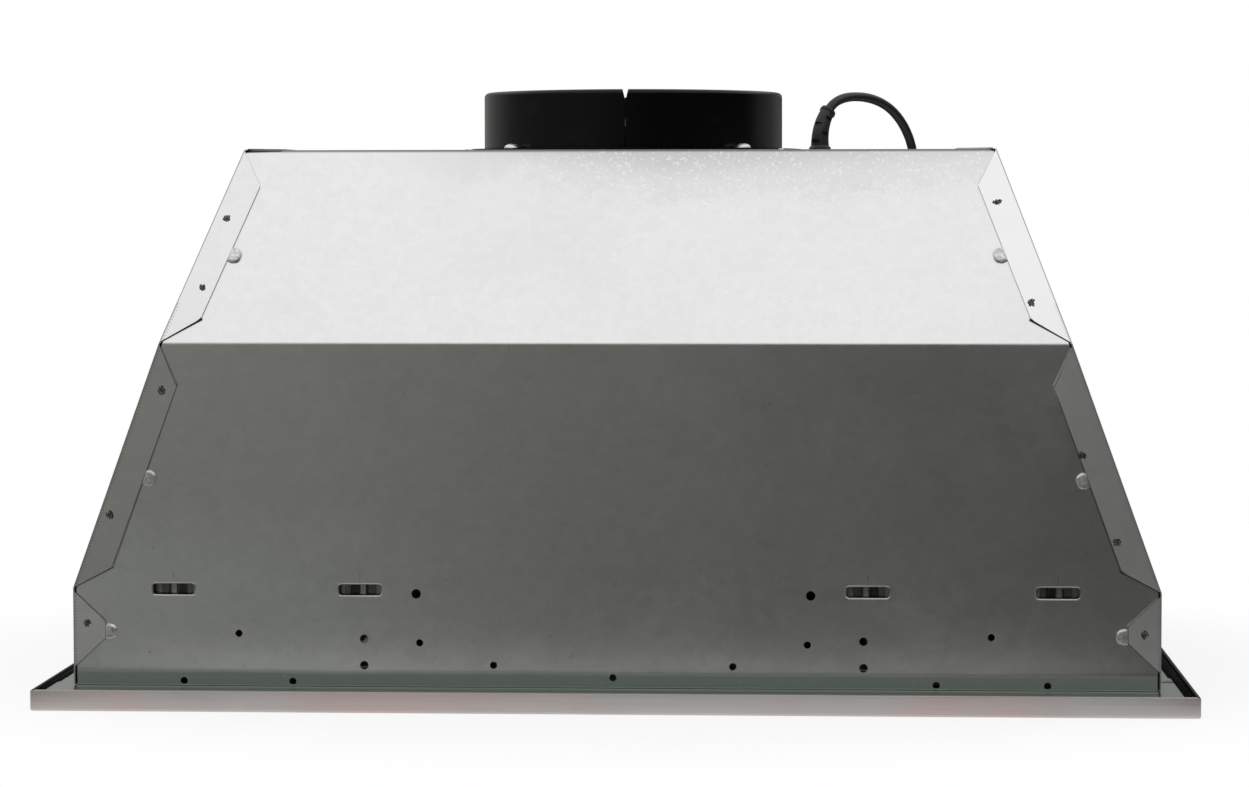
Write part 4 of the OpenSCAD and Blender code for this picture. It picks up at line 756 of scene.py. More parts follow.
@dataclass(frozen=True)
class FlangedSheet(GalvanisedSheet):
    """A side panel's sheet: dark sheared edges with painted shadow round its flanges, and press marks on the
    bends.

    Attributes:
        lap: Distance from the covered sheet to the flange.
        sheet: The flange's thickness.
        foot_reach: The panels' distance from the middle, up to the bend.
        bend_up: Height of the bend, from which they lean inwards.
        lean: How fast they do.
        tick: Distance between the press marks along the outer bend.
        ahead: Where the upright flanges' faces lie ahead of.
        tab_top: Height of the joining tabs' upper ends.
        handling: How much of the metal's shine handling has taken from the right flange and the tabs.
    """

    lap: float = 0.1 * MM
    sheet: float = 0.8 * MM
    foot_reach: float = 0.331
    bend_up: float = 0.072
    lean: float = 0.36194
    tick: float = 1.9 * MM
    ahead: float = -0.2
    tab_top: float = 0.072
    handling: float = 0.075

    def tint(self, nodes: Nodes, places: Socket, shade: Socket, colour: Socket) -> Socket:
        """Adds the bends' marks, the brighter right panel, and the sheared edges darkened partly by painted
        shadow.
        """
        # The sheared edges are dark partly as bare cut steel and partly as painted shadow along the flanges.
        sheared = (0.10, 0.10, 0.095, 1.0)
        facing = nodes.facing()
        leant = nodes.size(nodes.dot(facing, SLOPE_OUT))
        marked = self.bend_marks(nodes, places, leant, colour)
        return nodes.blend(self.edges(nodes, places, facing, leant), marked, sheared)

    def edges(self, nodes: Nodes, places: Socket, facing: Socket, leant: Socket) -> Socket:
        """Finds the sheared edges of the upright and the leaning flanges.

        Args:
            nodes: The material's nodes.
            places: The surface's coordinates.
            facing: The surface's direction.
            leant: How far the surface faces as the upper front does.

        Returns:
            Where the edges are.
        """
        edge_soft, edge_turn = 0.02 * MM, (0.5, 0.3)
        level = nodes.size(nodes.split(places)[1])
        upright = BAND.place(nodes, Value=level, Low=self.lap / 2 - FRONT_FACE, High=self.sheet - FRONT_FACE,
                             Soft=edge_soft)["Mask"]
        turned = nodes.size(nodes.split(facing)[1])
        upright_edge = nodes.times(upright, nodes.ramp(turned, *edge_turn))
        off = nodes.dot(nodes.vector("SUBTRACT", places, KNEE_POINT), SLOPE_OUT)
        leaning = BAND.place(nodes, Value=off, Low=self.lap / 2, High=self.sheet, Soft=edge_soft)["Mask"]
        leaning_edge = nodes.times(leaning, nodes.ramp(leant, *edge_turn))
        return nodes.larger(upright_edge, leaning_edge)

    def bend_marks(self, nodes: Nodes, places: Socket, leant: Socket, colour: Socket) -> Socket:
        """Adds press marks, painted shadow on a crease and the bends' outer line, and brightens the right
        panel.

        Args:
            nodes: The material's nodes.
            places: The surface's coordinates.
            leant: How far the surface faces as the upper front does.
            colour: The colour so far.

        Returns:
            The colour with the marks.
        """
        tick_share, tick_dirt = 0.34, (0.2, 0.2, 0.19, 1.0)
        # Painted shadow: dark lines on the crease by the flange's edge and on the upper flanges' outer bend.
        crease_share, crease_painted_shadow = 0.3, (0.12, 0.12, 0.115, 1.0)
        brighter = 0.5
        outer_line = (0.9 * MM, 0.3 * MM)
        outer_share, outer_painted_shade = 0.75, (0.13, 0.13, 0.125, 1.0)
        tick_cut, soft, face_on = (0.0, 0.6), 0.4 * MM, (0.55, 0.75)
        above_knee = KNEE_UP + 0.0002
        x, y, z = nodes.split(places)
        wave = nodes.math("SINE", nodes.times(z, 2 * math.pi / self.tick))
        drawn_in = nodes.times(nodes.larger(nodes.minus(z, self.bend_up), 0.0), self.lean)
        inset = nodes.minus(nodes.minus(self.foot_reach, drawn_in), nodes.size(x))
        in_front, right = nodes.under(y, self.ahead), nodes.over(x, 0.0)
        crease = BAND.place(nodes, Value=inset, Low=0.4 * MM, High=0.9 * MM, Soft=soft)["Mask"]
        creased = nodes.times(crease, nodes.scale_add(right, crease_share, crease_share))
        folded = nodes.blend(nodes.times(creased, in_front), colour, crease_painted_shadow)
        row = BAND.place(nodes, Value=inset, Low=1.4 * MM, High=2.1 * MM, Soft=soft)["Mask"]
        pressed = nodes.times(nodes.times(row, nodes.ramp(wave, *tick_cut)), tick_share)
        marked = nodes.blend(nodes.times(pressed, in_front), folded, tick_dirt)
        bright = nodes.blend(nodes.times(right, brighter), marked, neutral(0.97))
        outer = nodes.times(nodes.ramp(inset, *outer_line), nodes.ramp(leant, *face_on))
        upper = nodes.times(nodes.times(outer, nodes.over(z, above_knee)), outer_share)
        return nodes.blend(upper, bright, outer_painted_shade)

    def relief(self, nodes: Nodes, shader: Shader, places: Socket, shade: Socket) -> None:
        """Gives the crystals a trace of relief, and dulls the handled right flange and tabs."""
        self.raise_bumps(nodes, shader, shade, ZINC_RELIEF)
        x, y, z = nodes.split(places)
        handled = nodes.larger(nodes.under(z, self.tab_top), nodes.over(x, 0.0))
        upright_flange = nodes.times(nodes.under(y, self.ahead), nodes.under(z, KNEE_UP))
        dull = nodes.times(nodes.times(handled, upright_flange), self.handling)
        nodes.feed(shader.inputs["Metallic"], nodes.minus(1.0, dull))


class Lay(Enum):
    """Which way a brushed sheet's lines run."""

    X = "along X"
    Y = "along Y"
    SIDES = "along the nearest side"


@dataclass(frozen=True)
class BrushedSheet(Finish):
    """Brushed stainless sheet.

    Attributes:
        lay: Which way its lines run.
        half_width: Half of the rim's width, where the lines follow its sides.
        half_depth: Half of the rim's depth.
        depth: The depth of the lines' relief.
        tinge: How far its colour drifts between warm and cool.
    """

    metallic: float = 1.0
    lay: Lay = Lay.X
    half_width: float = 0.352
    half_depth: float = 0.240
    depth: float = 0.006 * MM
    tinge: float = 0.008

    def paint(self, nodes: Nodes, shader: Shader) -> None:
        """Draws the brushed lines, and dulls them with smudges."""
        contrast, soil, soiled = 0.16, 0.3, 0.9
        gloss_swing, smudge_gloss = 0.14, 0.06
        places = nodes.places()
        shade = self.lines(nodes, places)
        smudge = SMUDGE.place(nodes, Vector=places, Scale=14.0, From=0.45, To=0.8)["Mask"]
        fine = nodes.mix(shade, 1 - contrast, 1 + contrast)
        lined = nodes.stretch(self.tone(nodes, places), fine)
        dull = nodes.blend(nodes.times(smudge, soil), lined, shaded(self.colour, soiled))
        nodes.feed(shader.inputs["Base Color"], self.shade_inside(nodes, places, dull))
        gloss = nodes.scale_add(shade, gloss_swing, self.roughness - gloss_swing / 2)
        nodes.feed(shader.inputs["Roughness"], nodes.scale_add(smudge, smudge_gloss, gloss))
        self.raise_bumps(nodes, shader, shade, self.depth)

    def lines(self, nodes: Nodes, places: Socket) -> Socket:
        """Draws the lines.

        Args:
            nodes: The material's nodes.
            places: The surface's coordinates.

        Returns:
            The lines' shade.
        """
        drawn = 0.02
        across = BRUSHING.place(nodes, Vector=places, Stretch=(drawn, 1.0, 1.0))["Shade"]
        inward = BRUSHING.place(nodes, Vector=places, Stretch=(1.0, drawn, 1.0))["Shade"]
        if self.lay is Lay.X:
            return across
        if self.lay is Lay.Y:
            return inward
        x, y, _ = nodes.split(places)
        to_side = nodes.minus(nodes.size(x), self.half_width)
        to_front = nodes.minus(nodes.size(y), self.half_depth)
        return nodes.mix(nodes.over(to_side, to_front), across, inward)

    def tone(self, nodes: Nodes, places: Socket) -> Socket:
        """Lets the colour drift between warm and cool.

        Args:
            nodes: The material's nodes.
            places: The surface's coordinates.

        Returns:
            The colour without its lines.
        """
        drift = nodes.noise(nodes.vector("MULTIPLY", places, (1.0, 0.3, 1.0)), 9.0, 2.0)
        r, g, b = self.colour
        warm, cool = 1 + self.tinge, 1 - self.tinge
        warmer, cooler = (r * warm, g * cool, b * cool, 1.0), (r * cool, g * warm, b * warm, 1.0)
        return nodes.blend(nodes.ramp(drift, 0.4, 0.6), warmer, cooler)

    def shade_inside(self, nodes: Nodes, places: Socket, colour: Socket) -> Socket:
        """Adds what marks one sheet alone: nothing here.

        Args:
            nodes: The material's nodes.
            places: The surface's coordinates.
            colour: The colour so far.

        Returns:
            The sheet's colour.
        """
        return colour


@dataclass(frozen=True)
class RimSheet(BrushedSheet):
    """The rim's sheet, with painted shade inside its hem and on its upper edge."""

    lay: Lay = Lay.SIDES
    tinge: float = 0.035

    def shade_inside(self, nodes: Nodes, places: Socket, colour: Socket) -> Socket:
        """Paints shade on the faces that look inwards and on the upper edge."""
        # Painted shade: upward faces greyer, the sides' upper edges and the inward faces nearly black.
        edge_painted_shade, edge_share = (0.16, 0.15, 0.145, 1.0), 0.6
        side_edge = (0.349, 0.3505)
        looks_inward, looks_up = (-0.05, -0.15), (0.3, 0.8)
        facing = nodes.facing()
        outward = nodes.dot(nodes.vector("MULTIPLY", places, (1.0, 1.0, 0.0)), facing)
        upward = nodes.ramp(nodes.split(facing)[2], *looks_up)
        at_side = nodes.ramp(nodes.size(nodes.split(places)[0]), *side_edge)
        greyer = nodes.blend(nodes.times(upward, edge_share), colour, edge_painted_shade)
        edged = nodes.blend(nodes.times(upward, at_side), greyer, neutral(0.05))
        return nodes.blend(nodes.ramp(outward, *looks_inward), edged, neutral(0.02))


@dataclass(frozen=True)
class BareMetal(Finish):
    """Turned, drawn, plated or cast metal, with brighter or darker edges and a fine grain.

    Attributes:
        grain: Grains a metre.
        depth: The depth of the grain's relief.
        edge: The shade of the edges against the rest.
    """

    metallic: float = 1.0
    grain: float = 900.0
    depth: float = 0.006 * MM
    edge: float = 1.25

    def paint(self, nodes: Nodes, shader: Shader) -> None:
        """Varies shade and gloss with the grain, and wears the edges."""
        edge_width = 0.4 * MM
        dark, bright, soil = 0.86, 1.12, 0.35
        soiled = 0.8
        gloss_swing, smudge_gloss = 0.12, 0.1
        places = nodes.places()
        shade = nodes.noise(places, self.grain, 3.0, 0.6)
        smudge = SMUDGE.place(nodes, Vector=places, Scale=60.0, From=0.4, To=0.8)["Mask"]
        worn = EDGE.place(nodes, Width=edge_width)["Mask"]
        grained = nodes.blend(shade, shaded(self.colour, dark), shaded(self.colour, bright))
        dull = nodes.blend(nodes.times(smudge, soil), grained, shaded(self.colour, soiled))
        nodes.feed(shader.inputs["Base Color"], nodes.blend(worn, dull, shaded(self.colour, self.edge)))
        gloss = nodes.scale_add(shade, gloss_swing, self.roughness - gloss_swing / 2)
        nodes.feed(shader.inputs["Roughness"], nodes.scale_add(smudge, smudge_gloss, gloss))
        self.raise_bumps(nodes, shader, shade, self.depth)


@dataclass(frozen=True)
class ShadePaintedMetal(Finish):
    """Metal with painted shade and painted highlights laid down point by point, from black to its own
    colour.
    """

    metallic: float = 1.0

    def paint(self, nodes: Nodes, shader: Shader) -> None:
        """Blends by the mesh's tone of painted shade, with fine upright streaks."""
        painted_shadow_black, streaks, drawn = (0.012, 0.012, 0.011, 1.0), 0.3, 0.08
        depth, gloss_swing = 0.004 * MM, 0.12
        tone = nodes.add("ShaderNodeAttribute", attribute_name="tone").outputs["Fac"]
        upright = nodes.vector("MULTIPLY", nodes.places(), (1.0, 1.0, drawn))
        streak = nodes.noise(upright, 1300.0, 3.0, 0.6)
        shown = nodes.math("MULTIPLY_ADD", nodes.minus(streak, 0.5), streaks, tone, clamp=True)
        nodes.feed(shader.inputs["Base Color"], nodes.blend(shown, painted_shadow_black, (*self.colour, 1.0)))
        gloss = nodes.scale_add(streak, gloss_swing, self.roughness)
        nodes.feed(shader.inputs["Roughness"], gloss)
        self.raise_bumps(nodes, shader, streak, depth)


@dataclass(frozen=True)
class Moulding(Finish):
    """Moulded plastic or rubber: a fine skin grain, scuffed edges and a little dust.

    Attributes:
        grain: Grains a metre.
        depth: The depth of the grain.
        dust: How much of the dust shows.
        scuff: The shade of scuffed edges against the rest.
        ior: How strongly it reflects.
    """

    grain: float = 2600.0
    depth: float = 0.012 * MM
    dust: float = 0.2
    scuff: float = 1.8
    ior: float = 1.5

    def paint(self, nodes: Nodes, shader: Shader) -> None:
        """Adds grain, scuffs and dust."""
        scuff_width, scuff_share = 0.5 * MM, 0.6
        dark, bright = 0.85, 1.2
        gloss_swing, dust_gloss = 0.08, 0.12
        dust_tint, dust_pale = 0.5, 0.02
        places = nodes.places()
        shader.inputs["IOR"].default_value = self.ior
        skin = nodes.noise(places, self.grain, 2.0, 0.55)
        smudge = SMUDGE.place(nodes, Vector=places, Scale=38.0, From=0.5, To=0.82)["Mask"]
        worn = EDGE.place(nodes, Width=scuff_width)["Mask"]
        grained = nodes.blend(skin, shaded(self.colour, dark), shaded(self.colour, bright))
        scuffed = nodes.blend(nodes.times(worn, scuff_share), grained, shaded(self.colour, self.scuff))
        pale = tuple(dust_tint * channel + dust_pale for channel in self.colour)
        dusty = nodes.blend(nodes.times(smudge, self.dust), scuffed, (*pale, 1.0))
        nodes.feed(shader.inputs["Base Color"], dusty)
        gloss = nodes.scale_add(smudge, dust_gloss, self.roughness)
        nodes.feed(shader.inputs["Roughness"], nodes.scale_add(skin, gloss_swing, gloss))
        self.raise_bumps(nodes, shader, skin, self.depth)


@dataclass(frozen=True)
class WeldScar(Finish):
    """The burnt mark of a spot weld: dark and crusted round a paler, pressed middle."""

    metallic: float = 0.3

    def paint(self, nodes: Nodes, shader: Shader) -> None:
        """Blends from the scorched ring to the middle, broken up by noise."""
        pressed, middle_roughness = (0.20, 0.19, 0.17, 1.0), 0.4
        broken, middle_edge, depth = 2.2, (1.5, 1.95), 0.08 * MM
        middle = nodes.add("ShaderNodeAttribute", attribute_name="middle").outputs["Fac"]
        crust = nodes.noise(nodes.places(), 900.0, 4.0, 0.7)
        centre = nodes.ramp(nodes.scale_add(crust, broken, middle), *middle_edge)
        nodes.feed(shader.inputs["Base Color"], nodes.blend(centre, (*self.colour, 1.0), pressed))
        nodes.feed(shader.inputs["Roughness"], nodes.mix(centre, self.roughness, middle_roughness))
        self.raise_bumps(nodes, shader, crust, depth)


@dataclass(frozen=True)
class FrostedGlass(Finish):
    """The lamps' frosted lens, with fine pressed pimples."""

    def paint(self, nodes: Nodes, shader: Shader) -> None:
        """Presses the pimples into a pane that lets light through softly."""
        clear, pimples, depth = 0.35, 620.0, 0.1 * MM
        hazy, gloss_swing = 0.95, 0.1
        places = nodes.places()
        cells = nodes.add("ShaderNodeTexVoronoi", {"Vector": places, "Scale": pimples})
        haze = nodes.noise(places, 30.0, 3.0)
        pane = nodes.blend(haze, shaded(self.colour, hazy), shaded(self.colour, 1.0))
        nodes.feed(shader.inputs["Base Color"], pane)
        nodes.feed(shader.inputs["Roughness"], nodes.scale_add(haze, gloss_swing, self.roughness))
        shader.inputs["Transmission Weight"].default_value = clear
        self.raise_bumps(nodes, shader, cells.outputs["Distance"], depth)


@dataclass(frozen=True)
class CircuitBoard(Finish):
    """Green solder mask with paler tracks under it."""

    def paint(self, nodes: Nodes, shader: Shader) -> None:
        """Lays tracks along both directions of the board."""
        tracks, edge, paler = 260.0, (0.55, 0.6), 1.7
        matter, depth = 0.12, 0.03 * MM
        cells = nodes.add("ShaderNodeTexVoronoi", {"Vector": nodes.places(), "Scale": tracks},
                          distance="MANHATTAN", feature="F2").outputs["Distance"]
        track = nodes.ramp(cells, *edge)
        mask = shaded(self.colour, 1.0)
        nodes.feed(shader.inputs["Base Color"], nodes.blend(track, mask, shaded(self.colour, paler)))
        nodes.feed(shader.inputs["Roughness"], nodes.mix(track, self.roughness, self.roughness + matter))
        self.raise_bumps(nodes, shader, track, depth)


ZINC = (0.82, 0.82, 0.82)


class Surface(Enum):
    """The finishes of this hood, by where they are."""

    FRONT = FrontSheet("front galvanised sheet", ZINC, 0.30, contrast=0.06, soil=0.12)
    SIDE = FlangedSheet("flanged galvanised sheet", ZINC, 0.34)
    FRAME = FrameSheet("base frame galvanised sheet", (0.37, 0.39, 0.38), 0.36)
    LUG = GalvanisedSheet("pressed lug", (0.62, 0.62, 0.61), 0.34, metallic=0.82, spangle=620.0,
                          contrast=0.7)
    # The lip and the strip carry painted shade and painted highlights in their tone.
    LIP = ShadePaintedMetal("rolled lip", (0.92, 0.92, 0.91), 0.26)
    STRIP = ShadePaintedMetal("ribbed spring strip", (0.72, 0.72, 0.70), 0.24)
    # Painted shade: a near-black strip that stands for the shade in the gap by the rim.
    GAP_SHADE = Moulding("black strip of painted gap shade", (0.003, 0.003, 0.003), 0.75, grain=900.0, depth=0.15 * MM,
                    dust=0.04, scuff=1.1, ior=1.12)
    SHEET = GalvanisedSheet("galvanised sheet", ZINC, 0.38)
    BLOWER = GalvanisedSheet("blower galvanised sheet", (0.7, 0.71, 0.7), 0.42, spangle=140.0, contrast=0.08)
    RIM = RimSheet("rim brushed stainless", (0.595, 0.53, 0.515), 0.52)
    PANEL = BrushedSheet("bottom panel brushed stainless", (0.62, 0.60, 0.58), 0.36)
    FILTER = BrushedSheet("filter brushed stainless", (0.60, 0.59, 0.58), 0.34, lay=Lay.Y)
    SPRING = BareMetal("blued spring steel", (0.16, 0.17, 0.19), 0.32)
    WIRE = BareMetal("drawn bright wire", (0.72, 0.72, 0.71), 0.22, depth=0.003 * MM)
    BEZEL = BareMetal("satin chrome bezel", (0.62, 0.62, 0.63), 0.26, grain=500.0, depth=0.002 * MM)
    SHAFT = BareMetal("ground shaft steel", (0.58, 0.58, 0.6), 0.2, grain=1600.0, depth=0.002 * MM)
    WHEEL = BareMetal("pressed fan wheel", (0.62, 0.63, 0.64), 0.35, grain=400.0)
    CASTING = BareMetal("cast lamp housing", (0.42, 0.43, 0.44), 0.55, grain=800.0, depth=0.06 * MM)
    DAMPER = BareMetal("damper sheet", (0.45, 0.46, 0.46), 0.36, grain=300.0)
    ZINC_PLATE = BareMetal("zinc plated screw", (0.80, 0.80, 0.77), 0.34, grain=700.0, depth=0.01 * MM)
    BRASS = BareMetal("brass pin", (0.72, 0.52, 0.22), 0.24, depth=0.003 * MM)
    COLLAR = Moulding("black collar moulding", (0.0012, 0.0012, 0.0012), 0.2, grain=1400.0,
                      depth=0.004 * MM, dust=0.10, ior=1.31)
    BOOT = Moulding("black boot moulding", (0.007, 0.007, 0.0072), 0.42)
    SHEATH = Moulding("black cord sheath", (0.0075, 0.0075, 0.008), 0.38, grain=3200.0,
                      depth=0.006 * MM, dust=0.1)
    PLUG = Moulding("black plug moulding", (0.01, 0.01, 0.0105), 0.45)
    LEAD = Moulding("grey lead sheath", (0.12, 0.12, 0.125), 0.45)
    BUTTON = Moulding("button plastic", (0.016, 0.016, 0.017), 0.4)
    SILVER = Moulding("silver bezel plastic", (0.32, 0.32, 0.33), 0.34, dust=0.1, scuff=1.2)
    CAPACITOR = Moulding("white capacitor can", (0.72, 0.72, 0.69), 0.4, dust=0.15, scuff=1.05)
    MOTOR = Moulding("satin motor paint", (0.018, 0.018, 0.02), 0.36, grain=900.0, depth=0.03 * MM,
                     scuff=2.6)
    TIE = Moulding("grey tie", (0.05, 0.05, 0.052), 0.6, grain=1800.0, depth=0.08 * MM)
    LENS = FrostedGlass("frosted lamp lens", (0.9, 0.9, 0.86), 0.4)
    BOARD = CircuitBoard("green circuit board", (0.02, 0.14, 0.06), 0.4)
    WELD = WeldScar("spot weld scar", (0.012, 0.010, 0.008), 0.6)


def dress(surface: Surface, *nodes: str) -> None:
    """Gives CAD pieces a finish.

    Args:
        surface: The finish.
        nodes: The pieces' names.
    """
    for name in nodes:
        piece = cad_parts[name]
        for slot in piece.material_slots:
            slot.material = surface.value.material()
        log.info("%s: %s", name, surface.value.name)


def new_mesh(name: str, build: bmesh.types.BMesh, surface: Surface) -> bpy.types.Object:
    """Makes a piece of the hood from a finished mesh.

    Args:
        name: The piece's name.
        build: Its mesh, which is freed.
        surface: Its finish.

    Returns:
        The piece, riding on the hood.
    """
    bmesh.ops.recalc_face_normals(build, faces=build.faces)
    mesh = bpy.data.meshes.new(name)
    build.to_mesh(mesh)
    build.free()
    piece = bpy.data.objects.new(name, mesh)
    bpy.context.scene.collection.objects.link(piece)
    mesh.materials.append(surface.value.material())
    for face in mesh.polygons:
        face.use_smooth = True
    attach(piece, HOOD)
    log.info("%s: %s", name, surface.value.name)
    return piece


def join_loops(build: bmesh.types.BMesh, loops: list[list[bmesh.types.BMVert]]) -> None:
    """Lays faces from each closed loop of points to the next.

    Args:
        build: The mesh that they are added to.
        loops: The loops, which have the same number of points.
    """
    for low, high in zip(loops, loops[1:]):
        for k in range(len(low)):
            after = (k + 1) % len(low)
            build.faces.new((low[k], low[after], high[after], high[k]))


@dataclass
class SpotWelds:
    """The spot welds that hold the side panels' flanges on the front, the upper front and the rear.

    Attributes:
        radius: The mean radius of one blob of a weld mark.
        height: How far its crust stands proud.
        spokes: Points round a blob.
        blobs: Blobs in a mark.
        crust: A blob's rings from outside inwards, each with its share of the outline, rise and tone.
        lower: Places on the upright flanges, across and up.
        upper: Places on the upper front's flanges.
        tabs: Places on the joining tabs.
        outer_face: Distance of the upright flanges' outer faces from the hood's middle.
        lap: Distance from the upper front to its flanges' outer faces.
        seed: Where the random raggedness starts.
    """

    radius: float = 1.35 * MM
    height: float = 0.12 * MM
    spokes: int = 11
    blobs: int = 6
    crust: tuple = ((1.0, -0.3, 0.0), (0.92, 0.35, 0.0), (0.66, 1.0, 0.15), (0.38, 0.55, 0.7))
    lower: tuple = ((-0.2752, 0.1933), (-0.3077, 0.1170), (0.2828, 0.1552), (0.3044, 0.1031))
    upper: tuple = ((-0.2414, -0.1713, 0.2971), (-0.2527, -0.1943, 0.2547), (0.2338, -0.1660, 0.3068),
                    (0.2528, -0.1990, 0.2459))
    tabs: tuple = ((-0.3223, 0.0506), (0.3207, 0.0469))
    outer_face: float = 0.2129
    lap: float = 0.9 * MM
    seed: int = 11

    def places(self) -> list[tuple[Vector, Vector]]:
        """Returns each weld's point and the direction that its surface faces."""
        found = []
        for x, z in self.lower + self.tabs:
            found.append((Vector((x, -self.outer_face, z)), Vector((0, -1, 0))))
            found.append((Vector((x, self.outer_face, z)), Vector((0, 1, 0))))
        slope = Vector(SLOPE_OUT)
        for point in self.upper:
            off = (Vector(point) - Vector(KNEE_POINT)).dot(slope)
            found.append((Vector(point) + slope * (self.lap - off), slope))
        return found

    def mark(self, build: bmesh.types.BMesh, middle: bmesh.types.BMLayerItem, point: Vector, facing: Vector,
             chance: random.Random) -> None:
        """Adds one crusted blob with a ragged outline and a pressed middle.

        Args:
            build: The mesh that it is added to.
            middle: The layer that tells the middle from the ring.
            point: Its place.
            facing: The direction that it faces.
            chance: The seeded source of its raggedness.
        """
        ragged, crumbled, sunk = (0.5, 1.25), (0.8, 1.0), 0.3
        turn = facing.to_track_quat("Z", "Y").to_matrix().to_4x4()
        place = Matrix.Translation(point) @ turn
        reach = [self.radius * chance.uniform(*ragged) for _ in range(self.spokes)]
        rings = []
        for share, rise, tone in self.crust:
            ring = []
            for k in range(self.spokes):
                angle = 2 * math.pi * k / self.spokes
                out, up = reach[k] * share, self.height * rise * chance.uniform(*crumbled)
                vert = build.verts.new(place @ Vector((out * math.cos(angle), out * math.sin(angle), up)))
                vert[middle] = tone
                ring.append(vert)
            rings.append(ring)
        pit = build.verts.new(place @ Vector((0, 0, sunk * self.height)))
        pit[middle] = 1.0
        join_loops(build, rings)
        inner = rings[-1]
        for k in range(self.spokes):
            build.faces.new((inner[k], inner[(k + 1) % self.spokes], pit))
        build.faces.new(list(reversed(rings[0])))

    def build(self) -> None:
        """Builds all the marks as one piece."""
        strays, spread = 0.3, (0.55, 1.35)
        build = bmesh.new()
        middle = build.verts.layers.float.new("middle")
        chance = random.Random(self.seed)
        for point, facing in self.places():
            level = facing.cross(Vector((1, 0, 0))).normalized()
            for number in range(self.blobs):
                angle = 2 * math.pi * (number + chance.uniform(-strays, strays)) / self.blobs
                reach = self.radius * chance.uniform(*spread)
                aside = Vector((1, 0, 0)) * (reach * math.cos(angle)) + level * (reach * math.sin(angle))
                self.mark(build, middle, point + aside, facing, chance)
        new_mesh("spot_welds", build, Surface.WELD)


@dataclass
class JoiningLugs:
    """The pressed lugs that locate the side panels' flanges: domed half rounds beside the flanges' edges.

    Attributes:
        radius: A lug's radius.
        height: How far it stands proud of the front.
        bevel: Its shoulder, each step with the shares of the outline and of the height reached there.
        flat: Where its flat side lies, from the flange's edge.
        summit: How far its top lies from the flange's edge, as a share of the radius.
        steps: Steps round its outline.
        places: Each lug's point at the right, the direction up its sheet, and the flange's lean there.
    """

    radius: float = 4.95 * MM
    height: float = 1.75 * MM
    bevel: tuple = ((1.0, -0.1), (1.0, 0.35), (0.93, 0.72), (0.80, 0.93), (0.55, 1.0))
    flat: float = -0.35 * MM
    summit: float = 0.62
    steps: int = 14
    places: tuple = (((0.2866, FRONT_FACE, 0.1404), (0.0, 0.0, 1.0), 0.362),
                     ((0.3113, FRONT_FACE, 0.0450), (0.0, 0.0, 1.0), 0.0),
                     ((0.2377, -0.24096, 0.2754), SLOPE_UP, 0.3182))

    def outline(self) -> list[Flat]:
        """Returns the half round's outline, from its flat side round and back."""
        bulge, taller = 0.10, 1.04
        middle = -self.radius / 2
        start = math.acos((self.flat - middle) / self.radius)
        line = []
        for k in range(self.steps + 1):
            angle = start + (2 * math.pi - 2 * start) * k / self.steps
            fuller = 1 + bulge * math.sin(2 * angle) ** 2
            line.append((middle + self.radius * fuller * math.cos(angle),
                         self.radius * taller * math.sin(angle)))
        return line

    def press(self, build: bmesh.types.BMesh, side: int, point: Point, up: Point, lean: float) -> None:
        """Presses one lug.

        Args:
            build: The mesh that it is added to.
            side: -1 for a lug at the left, 1 for one at the right.
            point: Its place at the right.
            up: The direction up its sheet.
            lean: How far the flange leans inwards for each step up.
        """
        across, upright = Vector((side, 0, 0)), Vector(up)
        tilted = (upright - across * lean).normalized()
        level = (across + upright * lean).normalized()
        out = Vector((0, -1, 0))
        spot = Vector((side * point[0], point[1], point[2]))
        if up == SLOPE_UP:
            out = Vector(SLOPE_OUT)
            spot.y = FRONT_FACE + (spot.z - KNEE_UP) * SLOPE_BACK
        top = -self.radius * self.summit
        loops = []
        for share, rise in self.bevel:
            loop = []
            for u, v in self.outline():
                aside, along = top + (u - top) * share, v * share
                corner = spot + level * aside + tilted * along + out * (rise * self.height)
                loop.append(build.verts.new(corner))
            loops.append(loop)
        join_loops(build, loops)
        build.faces.new(loops[-1])
        build.faces.new(list(reversed(loops[0])))

    def build(self) -> None:
        """Presses all six lugs as one piece."""
        build = bmesh.new()
        for side in (-1, 1):
            for point, up, lean in self.places:
                self.press(build, side, point, up, lean)
        new_mesh("joining_lugs", build, Surface.LUG)


